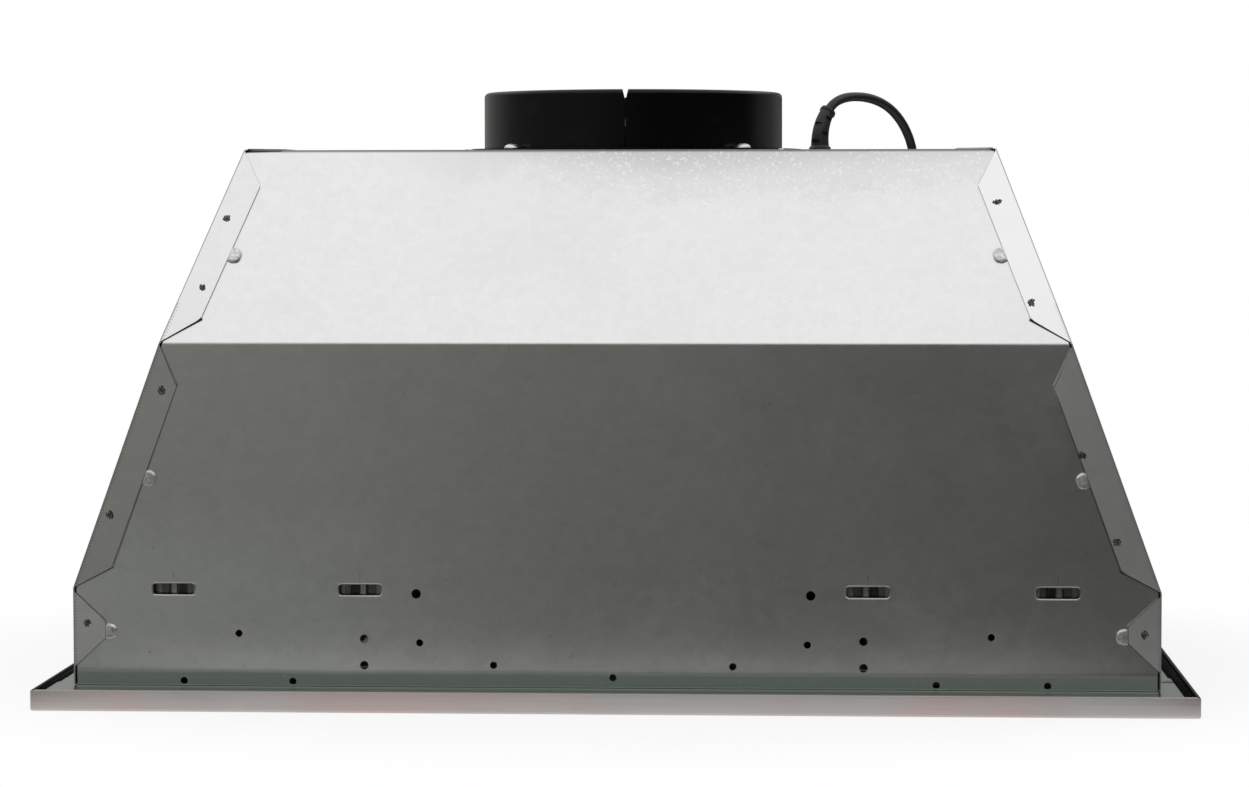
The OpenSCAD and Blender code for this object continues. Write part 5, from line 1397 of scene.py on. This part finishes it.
@dataclass
class SlotFittings:
    """What dresses the four slots for the hanging brackets: a rolled lip, and a ribbed spring behind it.

    Attributes:
        centres: The slots' places across.
        width: A slot's width.
        height: A slot's height.
        corner: The rounding of its corners.
        middle: Its height above the floor.
        lip: Radius of the rolled lip.
        depth: Distance from the front's face to the spring.
        thick: The spring's thickness.
        ribs: The spring's ribs, each with its width, how far it stands forward and its tone of painted
            shade.
        seed: Where the random unevenness starts.
    """

    centres: tuple = (-0.269, -0.1545, 0.1545, 0.269)
    width: float = 26.4 * MM
    height: float = 7.2 * MM
    corner: float = 2.0 * MM
    middle: float = 71.5 * MM
    lip: float = 0.42 * MM
    depth: float = 9.4 * MM
    thick: float = 0.5 * MM
    ribs: tuple = ((4.2, 0.6, 0.66), (3.4, 0.2, 0.34), (5.2, 0.0, 0.10), (1.0, 0.3, 0.22),
                   (3.6, 1.6, 0.72), (1.2, 0.2, 0.12), (4.8, 0.4, 0.26), (5.6, 0.8, 0.5))
    seed: int = 5

    def outline(self, grow: float) -> list[Flat]:
        """Draws a slot's outline.

        Args:
            grow: How much wider it is than the slot, all round.

        Returns:
            Its points, from the slot's middle.
        """
        corner_steps = 6
        half_w, half_h, r = self.width / 2, self.height / 2, self.corner
        line = []
        for cx, cz, start in ((half_w - r, half_h - r, 0), (r - half_w, half_h - r, 90),
                              (r - half_w, r - half_h, 180), (half_w - r, r - half_h, 270)):
            for step in range(corner_steps + 1):
                angle = math.radians(start + 90 * step / corner_steps)
                line.append((cx + (r + grow) * math.cos(angle), cz + (r + grow) * math.sin(angle)))
        return line

    def lip_painted_light(self, x: float, z: float) -> float:
        """Returns the lip's painted light: a highlight below, shade above that pales towards the corners."""
        lower_painted_highlight = 0.95
        upper_painted_shade, brighter = 0.28, 0.3
        zone = 3 * self.corner
        at_corner = min(1.0, max(0.0, (abs(x) - self.width / 2 + zone) / zone))
        return lower_painted_highlight if z < 0 else upper_painted_shade + brighter * at_corner

    def lips(self) -> None:
        """Rolls a lip round each slot, a little uneven as a punch leaves it."""
        outside, flattened, uneven = 0.35, 0.55, (0.8, 1.15)
        build = bmesh.new()
        tone = build.verts.layers.float.new("tone")
        chance = random.Random(self.seed)
        around = [(math.cos(math.radians(a)), math.sin(math.radians(a))) for a in range(0, 360, 45)]
        for centre in self.centres:
            punched = [chance.uniform(*uneven) for _ in self.outline(0.0)]
            loops = []
            for c, s in around:
                loop = []
                for left, (x, z) in zip(punched, self.outline(self.lip * (outside + c))):
                    y = FRONT_FACE - self.lip * flattened * s * left
                    vert = build.verts.new((centre + x, y, self.middle + z))
                    vert[tone] = self.lip_painted_light(x, z) * left
                    loop.append(vert)
                loops.append(loop)
            join_loops(build, loops + loops[:1])
        new_mesh("slot_lips", build, Surface.LIP)

    def springs(self) -> None:
        """Folds a ribbed strip behind each slot."""
        fold = 0.2 * MM
        below, above = 0.54, 0.8
        build = bmesh.new()
        tone = build.verts.layers.float.new("tone")
        low, high = self.middle - below * self.height, self.middle + above * self.height
        for number, centre in enumerate(self.centres):
            ribs = self.ribs if number % 2 else self.ribs[::-1]
            x = centre - sum(width for width, _, _ in ribs) * MM / 2
            line, tones = [], []
            for width, ahead, shade in ribs:
                y = FRONT_FACE + self.depth - ahead * MM
                line += [(x + fold, y), (x + width * MM - fold, y)]
                tones += [shade, shade]
                x += width * MM
            faces = []
            for back in (0.0, self.thick):
                rows = [[build.verts.new((px, py + back, z)) for px, py in line] for z in (low, high)]
                for row in rows:
                    for vert, shade in zip(row, tones):
                        vert[tone] = shade
                faces.append(rows)
            front, rear = faces
            for foot, head in faces:
                for k in range(len(line) - 1):
                    build.faces.new((foot[k], foot[k + 1], head[k + 1], head[k]))
            for a, b in ((front[0], rear[0]), (rear[1], front[1])):
                for k in range(len(line) - 1):
                    build.faces.new((a[k + 1], a[k], b[k], b[k + 1]))
            for k in (0, -1):
                build.faces.new((front[0][k], rear[0][k], rear[1][k], front[1][k]))
        springs = new_mesh("slot_springs", build, Surface.STRIP)
        for face in springs.data.polygons:
            face.use_smooth = False

    def build(self) -> None:
        """Builds lips and springs."""
        self.lips()
        self.springs()


@dataclass
class GapShadeStrips:
    """Black strips of painted shade in the gap between the base frame and the rim's sides, cut in steps.

    Attributes:
        outer: The strips' outer edge, from the middle.
        low: Height of their underside.
        high: Height of their top.
        slant: Half of the length over which one step goes over into the next.
        left: Steps of the left strip in mm: where each starts, from front to rear, and its inner edge.
        right: Steps of the right strip.
    """

    outer: float = 348.4 * MM
    low: float = 12.02 * MM
    high: float = 12.5 * MM
    slant: float = 1.5 * MM
    left: tuple = ((-233.5, 344.6), (-196.0, 343.2), (-150.0, 344.2), (-118.0, 341.6), (-60.0, 342.8),
                   (233.5, 342.8))
    right: tuple = ((-233.5, 343.0), (-150.0, 341.4), (-40.0, 342.4), (60.0, 341.2), (233.5, 341.2))

    def build(self) -> None:
        """Cuts both strips."""
        build = bmesh.new()
        for side, steps in ((-1, self.left), (1, self.right)):
            inner = []
            for (y, x), (after, _) in zip(steps, steps[1:]):
                inner += [(x * MM, y * MM + self.slant), (x * MM, after * MM - self.slant)]
            low, high = [], []
            for row, z in ((low, self.low), (high, self.high)):
                for x, y in inner:
                    edges = (side * x, y, z), (side * self.outer, y, z)
                    row.append([build.verts.new(edge) for edge in edges])
            for k in range(len(inner) - 1):
                build.faces.new((high[k][0], high[k][1], high[k + 1][1], high[k + 1][0]))
                build.faces.new((low[k][0], low[k + 1][0], low[k + 1][1], low[k][1]))
                build.faces.new((low[k][0], high[k][0], high[k + 1][0], low[k + 1][0]))
                build.faces.new((low[k][1], low[k + 1][1], high[k + 1][1], high[k][1]))
            for k in (0, -1):
                build.faces.new((low[k][0], low[k][1], high[k][1], high[k][0]))
        new_mesh("gap_shade_strips", build, Surface.GAP_SHADE)


@dataclass
class Canopy:
    """The folded canopy: front, sides and rear on the base frame."""

    welds: SpotWelds

    def build(self) -> None:
        """Dresses the panels and adds their spot welds, lugs, slot fittings and strips of painted shade."""
        JoiningLugs().build()
        SlotFittings().build()
        GapShadeStrips().build()
        dress(Surface.FRONT, "front_panel")
        dress(Surface.SIDE, "side_panel_left", "side_panel_right")
        dress(Surface.SHEET, "rear_panel")
        dress(Surface.FRAME, "base_frame")
        self.welds.build()


class Base:
    """The rim and the bottom panel."""

    def build(self) -> None:
        """Dresses both."""
        dress(Surface.RIM, "bottom_trim")
        dress(Surface.PANEL, "bottom_panel")


class Filters:
    """The baffle filters with their ledges, catches and bails."""

    def build(self) -> None:
        """Dresses them."""
        dress(Surface.SHEET, "filter_ledges")
        dress(Surface.SPRING, "filter_catches")
        for side in ("left", "right"):
            dress(Surface.FILTER, f"filter_frame_{side}", f"filter_baffles_{side}")
            dress(Surface.WIRE, f"filter_bail_{side}")


class Lamps:
    """The two lamps in the front band of the bottom panel."""

    def build(self) -> None:
        """Dresses them."""
        for side in ("left", "right"):
            dress(Surface.BEZEL, f"lamp_bezel_{side}")
            dress(Surface.LENS, f"lamp_lens_{side}")
            dress(Surface.CASTING, f"lamp_housing_{side}")


class Controls:
    """The push buttons, their bezel, switch board and cover."""

    def build(self) -> None:
        """Dresses them."""
        dress(Surface.SILVER, "control_bezel")
        dress(Surface.BUTTON, "button_fan_off", "button_fan_low", "button_fan_medium", "button_fan_high",
              "button_light")
        dress(Surface.BOARD, "switch_board")
        dress(Surface.SHEET, "control_cover")


class Blower:
    """The blower with its wheel, motor and capacitor."""

    def build(self) -> None:
        """Dresses them."""
        dress(Surface.BLOWER, "blower_scroll", "blower_inlet_plate", "blower_motor_plate", "capacitor_clip")
        dress(Surface.WHEEL, "inlet_ring", "impeller")
        dress(Surface.SHAFT, "motor_shaft")
        dress(Surface.MOTOR, "motor")
        dress(Surface.CAPACITOR, "capacitor")


class Outlet:
    """The duct collar and its damper."""

    def build(self) -> None:
        """Dresses them."""
        dress(Surface.COLLAR, "duct_collar")
        dress(Surface.SHAFT, "damper_rod")
        dress(Surface.DAMPER, "damper_flap_left", "damper_flap_right")


class Fasteners:
    """All the screws."""

    def build(self) -> None:
        """Dresses them."""
        dress(Surface.ZINC_PLATE, "collar_screws", "blower_screws", "motor_screws", "junction_screws",
              "board_screws")


@dataclass
class SupplyCord:
    """The supply cord: out of the boot, over the rear edge, down to the floor and into a coil behind.

    Attributes:
        diameter: The sheath's diameter.
        route: Points from the boot's tip to the coil, as in the part.
        coil_radius: The coil's outer radius, at the middle of the cord.
        coil_pitch: Step from one turn to the next, across and up.
        coil_floor: Height of the lower turns.
        turns_in: Turns that wind inwards on the floor.
        turns_climb: Turns that the climb to the upper layer takes.
        turns_out: Turns that wind outwards on the upper layer.
        steps: Points in a turn.
        tail: Length from the coil to the plug.
        tail_height: Height at which the tail meets the plug.
    """

    diameter: float = 6.6 * MM
    route: tuple = (
        (0.1315, 0.1569, 0.3712), (0.1333, 0.159, 0.374), (0.136, 0.162, 0.3768), (0.14, 0.1666, 0.3793),
        (0.1456, 0.173, 0.38105), (0.152, 0.1802, 0.38158), (0.1586, 0.1876, 0.38112),
        (0.165, 0.1948, 0.3796), (0.171, 0.2016, 0.377), (0.1764, 0.2076, 0.3733), (0.181, 0.2127, 0.3687),
        (0.185, 0.2171, 0.3633), (0.1883, 0.2208, 0.3573), (0.191, 0.2239, 0.3504), (0.193, 0.2263, 0.342),
        (0.1943, 0.2281, 0.3316), (0.1949, 0.2294, 0.319), (0.195, 0.2303, 0.304), (0.195, 0.231, 0.286),
        (0.195, 0.2316, 0.266), (0.195, 0.2322, 0.246), (0.195, 0.2328, 0.226), (0.195, 0.2334, 0.206),
        (0.195, 0.234, 0.186), (0.195, 0.2346, 0.166), (0.195, 0.2352, 0.146), (0.195, 0.2358, 0.126),
        (0.195, 0.2366, 0.106), (0.195, 0.2376, 0.088), (0.195, 0.2392, 0.072), (0.195, 0.2416, 0.057),
        (0.195, 0.245, 0.043), (0.195, 0.2496, 0.0304), (0.195, 0.2556, 0.0196), (0.195, 0.263, 0.0114),
        (0.195, 0.2714, 0.0062), (0.195, 0.28, 0.004), (0.195, 0.286, 0.0036), (0.195, 0.292, 0.0036),
        (0.195, 0.299, 0.0036))
    coil_radius: float = 44.0 * MM
    coil_pitch: float = 7.1 * MM
    coil_floor: float = 3.6 * MM
    turns_in: float = 2.0
    turns_climb: float = 0.5
    turns_out: float = 1.75
    steps: int = 24
    tail: float = 46.0 * MM
    tail_height: float = 11.6 * MM

    def coil_centre(self) -> Vector:
        """Returns the middle of the coil, on the floor."""
        return Vector(self.route[-1]) + Vector((-self.coil_radius, self.diameter, -self.coil_floor))

    def coil_point(self, turn: float) -> Vector:
        """Returns the point that the cord has reached after so many turns."""
        back = self.turns_in + self.turns_climb / 2
        radius = self.coil_radius - self.coil_pitch * (back - abs(turn - back))
        climbed = min(1.0, max(0.0, (turn - self.turns_in) / self.turns_climb))
        angle = 2 * math.pi * turn
        height = self.coil_floor + self.coil_pitch * climbed
        return self.coil_centre() + Vector((radius * math.cos(angle), radius * math.sin(angle), height))

    def points(self) -> list[Vector]:
        """Returns the whole centreline, from the boot to the plug."""
        turns = self.turns_in + self.turns_climb + self.turns_out
        coil = [self.coil_point(i / self.steps) for i in range(int(turns * self.steps) + 1)]
        out = coil[-1] - Vector((self.diameter, 0, 0))
        straight = self.diameter / self.tail
        tail = []
        for share in (0.0, straight, 0.3, 0.5, 0.7, 1 - straight, 1.0):
            along = min(1.0, max(0.0, (share - straight) / (1 - 2 * straight)))
            rise = (self.tail_height - out.z) * (1 - math.cos(math.pi * along)) / 2
            tail.append(out + Vector((-share * self.tail, 0, rise)))
        return [Vector(point) for point in self.route] + coil + tail

    def build(self) -> None:
        """Lays the cord as one curve, in place of the part's plain tubes."""
        points = self.points()
        curve = bpy.data.curves.new("supply_cord", "CURVE")
        curve.dimensions = "3D"
        curve.resolution_u = 4
        curve.bevel_depth = self.diameter / 2
        curve.bevel_resolution = 5
        curve.use_fill_caps = True
        spline = curve.splines.new("BEZIER")
        spline.bezier_points.add(len(points) - 1)
        for knot, point in zip(spline.bezier_points, points):
            knot.co = point
            knot.handle_left_type = knot.handle_right_type = "AUTO"
        curve.materials.append(Surface.SHEATH.value.material())
        cord = bpy.data.objects.new("supply_cord", curve)
        bpy.context.scene.collection.objects.link(cord)
        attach(cord, HOOD)
        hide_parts("power_cord", "cord_coil", "cord_tail")


@dataclass
class CoilTie:
    """The tie round the coil: a flat band through its eye and round the turns.

    Attributes:
        cord: The cord that it holds.
        turn: Where on the coil it sits, as a share of a turn.
        width: The band's width.
        thick: The band's thickness.
    """

    cord: SupplyCord
    turn: float = 0.62
    width: float = 7.0 * MM
    thick: float = 0.8 * MM

    def outline(self) -> list[Flat]:
        """Returns the band's inner line round the turns, as distance from the coil's middle and height."""
        gap, bend, bend_steps = 0.5 * MM, 3.4 * MM, 4
        radius = self.cord.diameter / 2
        far = self.cord.coil_radius + radius
        windings = self.cord.turns_in + self.cord.turns_climb / 2
        near = self.cord.coil_radius - self.cord.coil_pitch * windings - radius
        low, high = 0.0, self.cord.coil_floor + self.cord.coil_pitch + radius
        corners = ((far, high, 0), (near, high, 90), (near, low, 180), (far, low, 270))
        line = []
        for x, z, start in corners:
            side = 1 if x == far else -1
            up = gap - bend if z == high else bend
            centre = (x + side * gap - side * bend, z + up)
            for step in range(bend_steps + 1):
                angle = math.radians(start + 90 * step / bend_steps)
                line.append((centre[0] + bend * math.cos(angle), centre[1] + bend * math.sin(angle)))
        return line

    def build(self) -> None:
        """Sweeps the band round the turns."""
        clear = 0.05 * MM
        line = self.outline()
        angle = 2 * math.pi * self.turn
        outward = Vector((math.cos(angle), math.sin(angle), 0))
        across = Vector((-math.sin(angle), math.cos(angle), 0))
        centre = self.cord.coil_centre()
        build = bmesh.new()
        count = len(line)
        middle = (sum(p[0] for p in line) / count, sum(p[1] for p in line) / count)
        loops = []
        for x, z in line:
            away = Vector((x - middle[0], z - middle[1])).normalized() * self.thick
            loop = []
            for side, grow in ((-1, 0), (1, 0), (1, 1), (-1, 1)):
                point = centre + outward * (x + grow * away.x) + across * (side * self.width / 2)
                loop.append(build.verts.new(point + Vector((0, 0, max(clear, z + grow * away.y)))))
            loops.append(loop)
        join_loops(build, loops + loops[:1])
        new_mesh("coil_tie", build, Surface.TIE)


@dataclass
class CordBoot:
    """The cord's strain relief: a tapering sleeve with staggered windows, bent over, and its nut inside.

    Attributes:
        place: The middle of its base, on the top plate.
        heading: The direction that it leans to, in degrees from X.
        lean: How far it leans at its tip, in degrees.
        rise: Height from the straight foot to the tip.
        foot: Height of the straight foot.
        low_radius: Radius above the foot.
        tip_radius: Radius before the tip's collar.
        core: Radius inside the windows.
        pitch: Distance from one row of windows to the next.
        open: Height of a window.
        flange: Height of the spread foot.
        sides: Points round the sleeve.
    """

    place: Point = (0.1255, 0.150, 0.340)
    heading: float = 49.0
    lean: float = 44.0
    rise: float = 22.0 * MM
    foot: float = 9.0 * MM
    low_radius: float = 6.4 * MM
    tip_radius: float = 4.9 * MM
    core: float = 3.9 * MM
    pitch: float = 5.4 * MM
    open: float = 2.3 * MM
    flange: float = 5.2 * MM
    sides: int = 48

    def over(self) -> Vector:
        """Returns the level direction that it leans to."""
        return Vector((math.cos(math.radians(self.heading)), math.sin(math.radians(self.heading)), 0))

    def spot(self, along: float) -> tuple[Vector, Vector]:
        """Follows the sleeve's centreline.

        Args:
            along: The distance from the top plate.

        Returns:
            The point reached and the direction there.
        """
        up = Vector((0, 0, 1))
        if along <= self.foot:
            return Vector(self.place) + up * along, up
        radius = self.rise / math.sin(math.radians(self.lean))
        angle = (along - self.foot) / radius
        climbed = up * (self.foot + radius * math.sin(angle))
        aside = self.over() * (radius * (1 - math.cos(angle)))
        return Vector(self.place) + climbed + aside, up * math.cos(angle) + self.over() * math.sin(angle)

    def radius_at(self, along: float, angle: float, length: float) -> float:
        """Returns the sleeve's radius at a place on its surface.

        Args:
            along: The distance from the top plate.
            angle: The angle round the centreline, in degrees.
            length: The sleeve's whole length.

        Returns:
            The radius, which drops to the core in a window.
        """
        window_start, window_end = 58, 122
        first_row, last_row, spread, spread_end = 3.0 * MM, 3.4 * MM, 1.3 * MM, 1.6 * MM
        collar, collar_proud = 1.9 * MM, 0.75 * MM
        share = max(0.0, along - self.flange) / (length - self.flange)
        outer = self.low_radius + (self.tip_radius - self.low_radius) * share
        spread_top = self.flange + spread_end
        if along < spread_top:
            wider = min(1.0, (spread_top - along) / spread_end)
            return outer + spread * wider ** 2
        if length - along < collar:
            return outer + collar_proud
        row, within = divmod(along - self.flange - first_row, self.pitch)
        turn = (angle + (90 if int(row) % 2 else 0)) % 180
        in_row = row >= 0 and within < self.open and length - along > last_row
        return self.core if in_row and window_start < turn < window_end else outer

    def build(self) -> None:
        """Sweeps the sleeve and puts the nut inside the top plate."""
        neck, plate, nut, nut_height = 6.0 * MM, 1.9 * MM, 9.2 * MM, 6.0 * MM
        sunk, raised = 0.1 * MM, 0.02 * MM
        rows = 110
        length = self.foot + math.radians(self.lean) * self.rise / math.sin(math.radians(self.lean))
        build = bmesh.new()
        stations = [(-plate - nut_height, nut), (-plate, nut), (-plate, neck), (-sunk, neck)]
        stations += [(raised + (length - raised) * k / rows, None) for k in range(rows + 1)]
        loops = []
        for along, fixed in stations:
            point, ahead = self.spot(along)
            side = ahead.cross(self.over()).normalized()
            front = side.cross(ahead)
            loop = []
            for k in range(self.sides):
                angle = 360 * k / self.sides
                radius = fixed or self.radius_at(along, angle, length)
                away = side * math.cos(math.radians(angle)) + front * math.sin(math.radians(angle))
                loop.append(build.verts.new(point + away * radius))
            loops.append(loop)
        join_loops(build, loops)
        build.faces.new(list(reversed(loops[0])))
        build.faces.new(loops[-1])
        boot = new_mesh("boot_sleeve", build, Surface.BOOT)
        for face in boot.data.polygons:
            face.use_smooth = False
        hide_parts("cord_boot")


@dataclass
class Supply:
    """Junction box, leads, boot, cord and plug."""

    cord: SupplyCord

    def build(self) -> None:
        """Lays the cord and dresses the rest."""
        self.cord.build()
        CoilTie(self.cord).build()
        dress(Surface.SHEET, "junction_box", "junction_cover")
        dress(Surface.LEAD, "motor_lead", "control_lead")
        CordBoot().build()
        dress(Surface.PLUG, "plug")
        dress(Surface.BRASS, "plug_blades")


@dataclass
class Camera:
    """The camera, at the photograph's viewing angle.

    Attributes:
        place: Its place.
        yaw: Turn to the right of straight back, in radians.
        pitch: Downward tilt, in radians.
        roll: Turn about its own axis, in radians.
        lens: Focal length.
        sensor: The sensor's width.
    """

    place: Point = (0.12240, -2.29560, 0.31088)
    yaw: float = -0.0552
    pitch: float = 0.0570
    roll: float = -0.0012
    lens: float = 99.55
    sensor: float = 36.0

    def build(self) -> None:
        """Makes the camera and hands it to the scene."""
        data = bpy.data.cameras.new("camera")
        data.lens = self.lens
        data.sensor_width = self.sensor
        camera = bpy.data.objects.new("camera", data)
        bpy.context.scene.collection.objects.link(camera)
        level = math.cos(self.pitch)
        ahead = Vector((math.sin(self.yaw) * level, math.cos(self.yaw) * level, -math.sin(self.pitch)))
        turn = ahead.to_track_quat("-Z", "Y").to_matrix() @ Matrix.Rotation(self.roll, 3, "Z")
        camera.matrix_world = Matrix.Translation(self.place) @ turn.to_4x4()
        bpy.context.scene.camera = camera


@dataclass(frozen=True)
class SoftBox:
    """A rectangular soft light.

    Attributes:
        name: Its name.
        place: Where it hangs.
        aim: The point that it faces.
        size: Its width and depth.
        power: Its power in watts.
    """

    name: str
    place: Point
    aim: Point
    size: Flat
    power: float

    def hang(self) -> None:
        """Hangs the light, which reflections don't show."""
        data = bpy.data.lights.new(self.name, "AREA")
        data.shape = "RECTANGLE"
        data.size, data.size_y = self.size
        data.energy = self.power
        light = bpy.data.objects.new(self.name, data)
        bpy.context.scene.collection.objects.link(light)
        light.location = self.place
        light.rotation_mode = "QUATERNION"
        light.rotation_quaternion = (Vector(self.aim) - Vector(self.place)).to_track_quat("-Z", "Y")
        light.visible_glossy = False


@dataclass
class Studio:
    """Plain pale floor, soft light from above, white surroundings and dark flags that only reflections see.

    Attributes:
        floor_reach: Half of the floor's width.
        flag_radius: Distance of the dark flags from the hood.
        flag_height: Height of the flags.
        flag_near: Where the flag on the floor starts, across and ahead.
        boxes: The soft lights.
    """

    floor_reach: float = 12.0
    flag_radius: float = 3.0
    flag_height: float = 1.9
    flag_near: Flat = (0.40, 0.29)
    boxes: tuple[SoftBox, ...] = (
        SoftBox("soft_box", (-0.25, -1.7, 2.3), (0.0, -0.1, 0.25), (2.6, 1.8), 36.0),
        SoftBox("top_box", (0.0, 0.6, 2.6), (0.0, 0.0, 0.3), (2.2, 1.6), 10.0))

    def card(self, name: str, points: list[Point], faces: list[tuple[int, ...]],
             material: bpy.types.Material) -> bpy.types.Object:
        """Makes a piece of the studio.

        Args:
            name: Its name.
            points: Its corners.
            faces: Its faces.
            material: Its material.

        Returns:
            The piece.
        """
        mesh = bpy.data.meshes.new(name)
        mesh.from_pydata(points, [], faces)
        piece = bpy.data.objects.new(name, mesh)
        bpy.context.scene.collection.objects.link(piece)
        mesh.materials.append(material)
        return piece

    def seen_white(self, nodes: Nodes) -> Socket:
        """Finds the rays that show the surroundings as white: from the camera, by gloss or through glass.

        Args:
            nodes: The material's nodes.

        Returns:
            1 for those rays and 0 for the others.
        """
        path = nodes.add("ShaderNodeLightPath").outputs
        seen = nodes.larger(path["Is Camera Ray"], path["Is Glossy Ray"])
        return nodes.larger(seen, path["Is Transmission Ray"])

    def floor(self) -> None:
        """Lays the floor, which keeps the hood's shadow and fades to plain white."""
        floor_shape, floor_fade = (1.0, 1.25, 0.0), (0.36, 0.62)
        floor_white = (0.78, 1.0)
        floor_colour = neutral(0.9)
        made = bpy.data.materials.new("floor")
        nodes = clear_tree(made)
        away = nodes.vector("LENGTH", nodes.vector("MULTIPLY", nodes.places(), floor_shape))
        white_share = nodes.ramp(away, *floor_fade, *floor_white)
        lit = nodes.add("ShaderNodeBsdfDiffuse", {"Color": floor_colour}).outputs[0]
        white = nodes.add("ShaderNodeEmission", {"Color": neutral(1.0), "Strength": 1.0}).outputs[0]
        share = nodes.times(self.seen_white(nodes), white_share)
        shown = nodes.add("ShaderNodeMixShader", {0: share, 1: lit, 2: white}).outputs[0]
        clear = nodes.add("ShaderNodeBsdfTransparent").outputs[0]
        below = nodes.add("ShaderNodeNewGeometry").outputs["Backfacing"]
        surface = nodes.add("ShaderNodeMixShader", {0: below, 1: shown, 2: clear}).outputs[0]
        nodes.add("ShaderNodeOutputMaterial", {"Surface": surface})
        r = self.floor_reach
        self.card("floor", [(-r, -r, 0), (r, -r, 0), (r, r, 0), (-r, r, 0)], [(0, 1, 2, 3)], made)

    def flag_material(self) -> bpy.types.Material:
        """Mixes the flags' grey, which is paler at the left and fades out at the top and towards the rear.

        Returns:
            The material.
        """
        flag_left = (0.255, 0.262, 0.240, 1.0)
        flag_right, flag_across = (0.033, 0.034, 0.028, 1.0), (-1.9, 1.05)
        flag_faded, flag_rear, flag_rear_share = 0.7, (0.5, 1.5), 0.22
        made = bpy.data.materials.new("flag")
        nodes = clear_tree(made)
        x, y, z = nodes.split(nodes.places())
        shade = nodes.blend(nodes.ramp(x, *flag_across), flag_left, flag_right)
        above = nodes.ramp(z, self.flag_height * flag_faded, self.flag_height)
        bright = nodes.larger(above, nodes.ramp(y, *flag_rear, 0.0, flag_rear_share))
        colour = nodes.blend(bright, shade, neutral(1.0))
        glow = nodes.add("ShaderNodeEmission", {"Color": colour, "Strength": 1.0}).outputs[0]
        nodes.add("ShaderNodeOutputMaterial", {"Surface": glow})
        return made

    def flags(self) -> None:
        """Stands a low dark ring round the set and lays one on the floor, for reflections alone."""
        flag_level, flag_square, flag_steps = 0.002, 6, 48
        count, radius, power = flag_steps, self.flag_radius, flag_square
        across, ahead = self.flag_near
        turns = [2 * math.pi * k / count for k in range(count)]
        spread = [(math.cos(turn), math.sin(turn)) for turn in turns]
        points = []
        for c, s in spread:
            square = (abs(c) ** power + abs(s) ** power) ** (-1 / power)
            points.append((across * square * c, ahead * square * s, flag_level))
        points += [(radius * c, radius * s, flag_level) for c, s in spread]
        points += [(radius * c, radius * s, self.flag_height) for c, s in spread]
        faces = []
        for k in range(count):
            after = (k + 1) % count
            faces.append((k, after, count + after, count + k))
            faces.append((count + k, count + after, 2 * count + after, 2 * count + k))
        flags = self.card("flags", points, faces, self.flag_material())
        flags.visible_camera = flags.visible_diffuse = flags.visible_shadow = False
        flags.visible_transmission = flags.visible_volume_scatter = False

    def world(self) -> None:
        """Sets white surroundings, which light the hood softly."""
        world_strength = 0.45
        world = bpy.data.worlds.new("surroundings")
        bpy.context.scene.world = world
        nodes = clear_tree(world)
        strength = nodes.mix(self.seen_white(nodes), world_strength, 1.0)
        back = nodes.add("ShaderNodeBackground", {"Color": neutral(1.0), "Strength": strength})
        nodes.add("ShaderNodeOutputWorld", {"Surface": back.outputs[0]})

    def build(self) -> None:
        """Sets up the studio."""
        self.floor()
        self.flags()
        self.world()
        for box in self.boxes:
            box.hang()
        bpy.context.scene.view_settings.view_transform = "Standard"


def main() -> None:
    """Builds the camera, the cord and then every sub-assembly, and the studio."""
    logging.basicConfig(level=logging.INFO, format="%(message)s")
    Camera().build()
    Supply(SupplyCord()).build()
    Canopy(SpotWelds()).build()
    for part in (Base(), Filters(), Lamps(), Controls(), Blower(), Outlet(), Fasteners()):
        part.build()
    Studio().build()


if __name__ == "__main__":
    main()
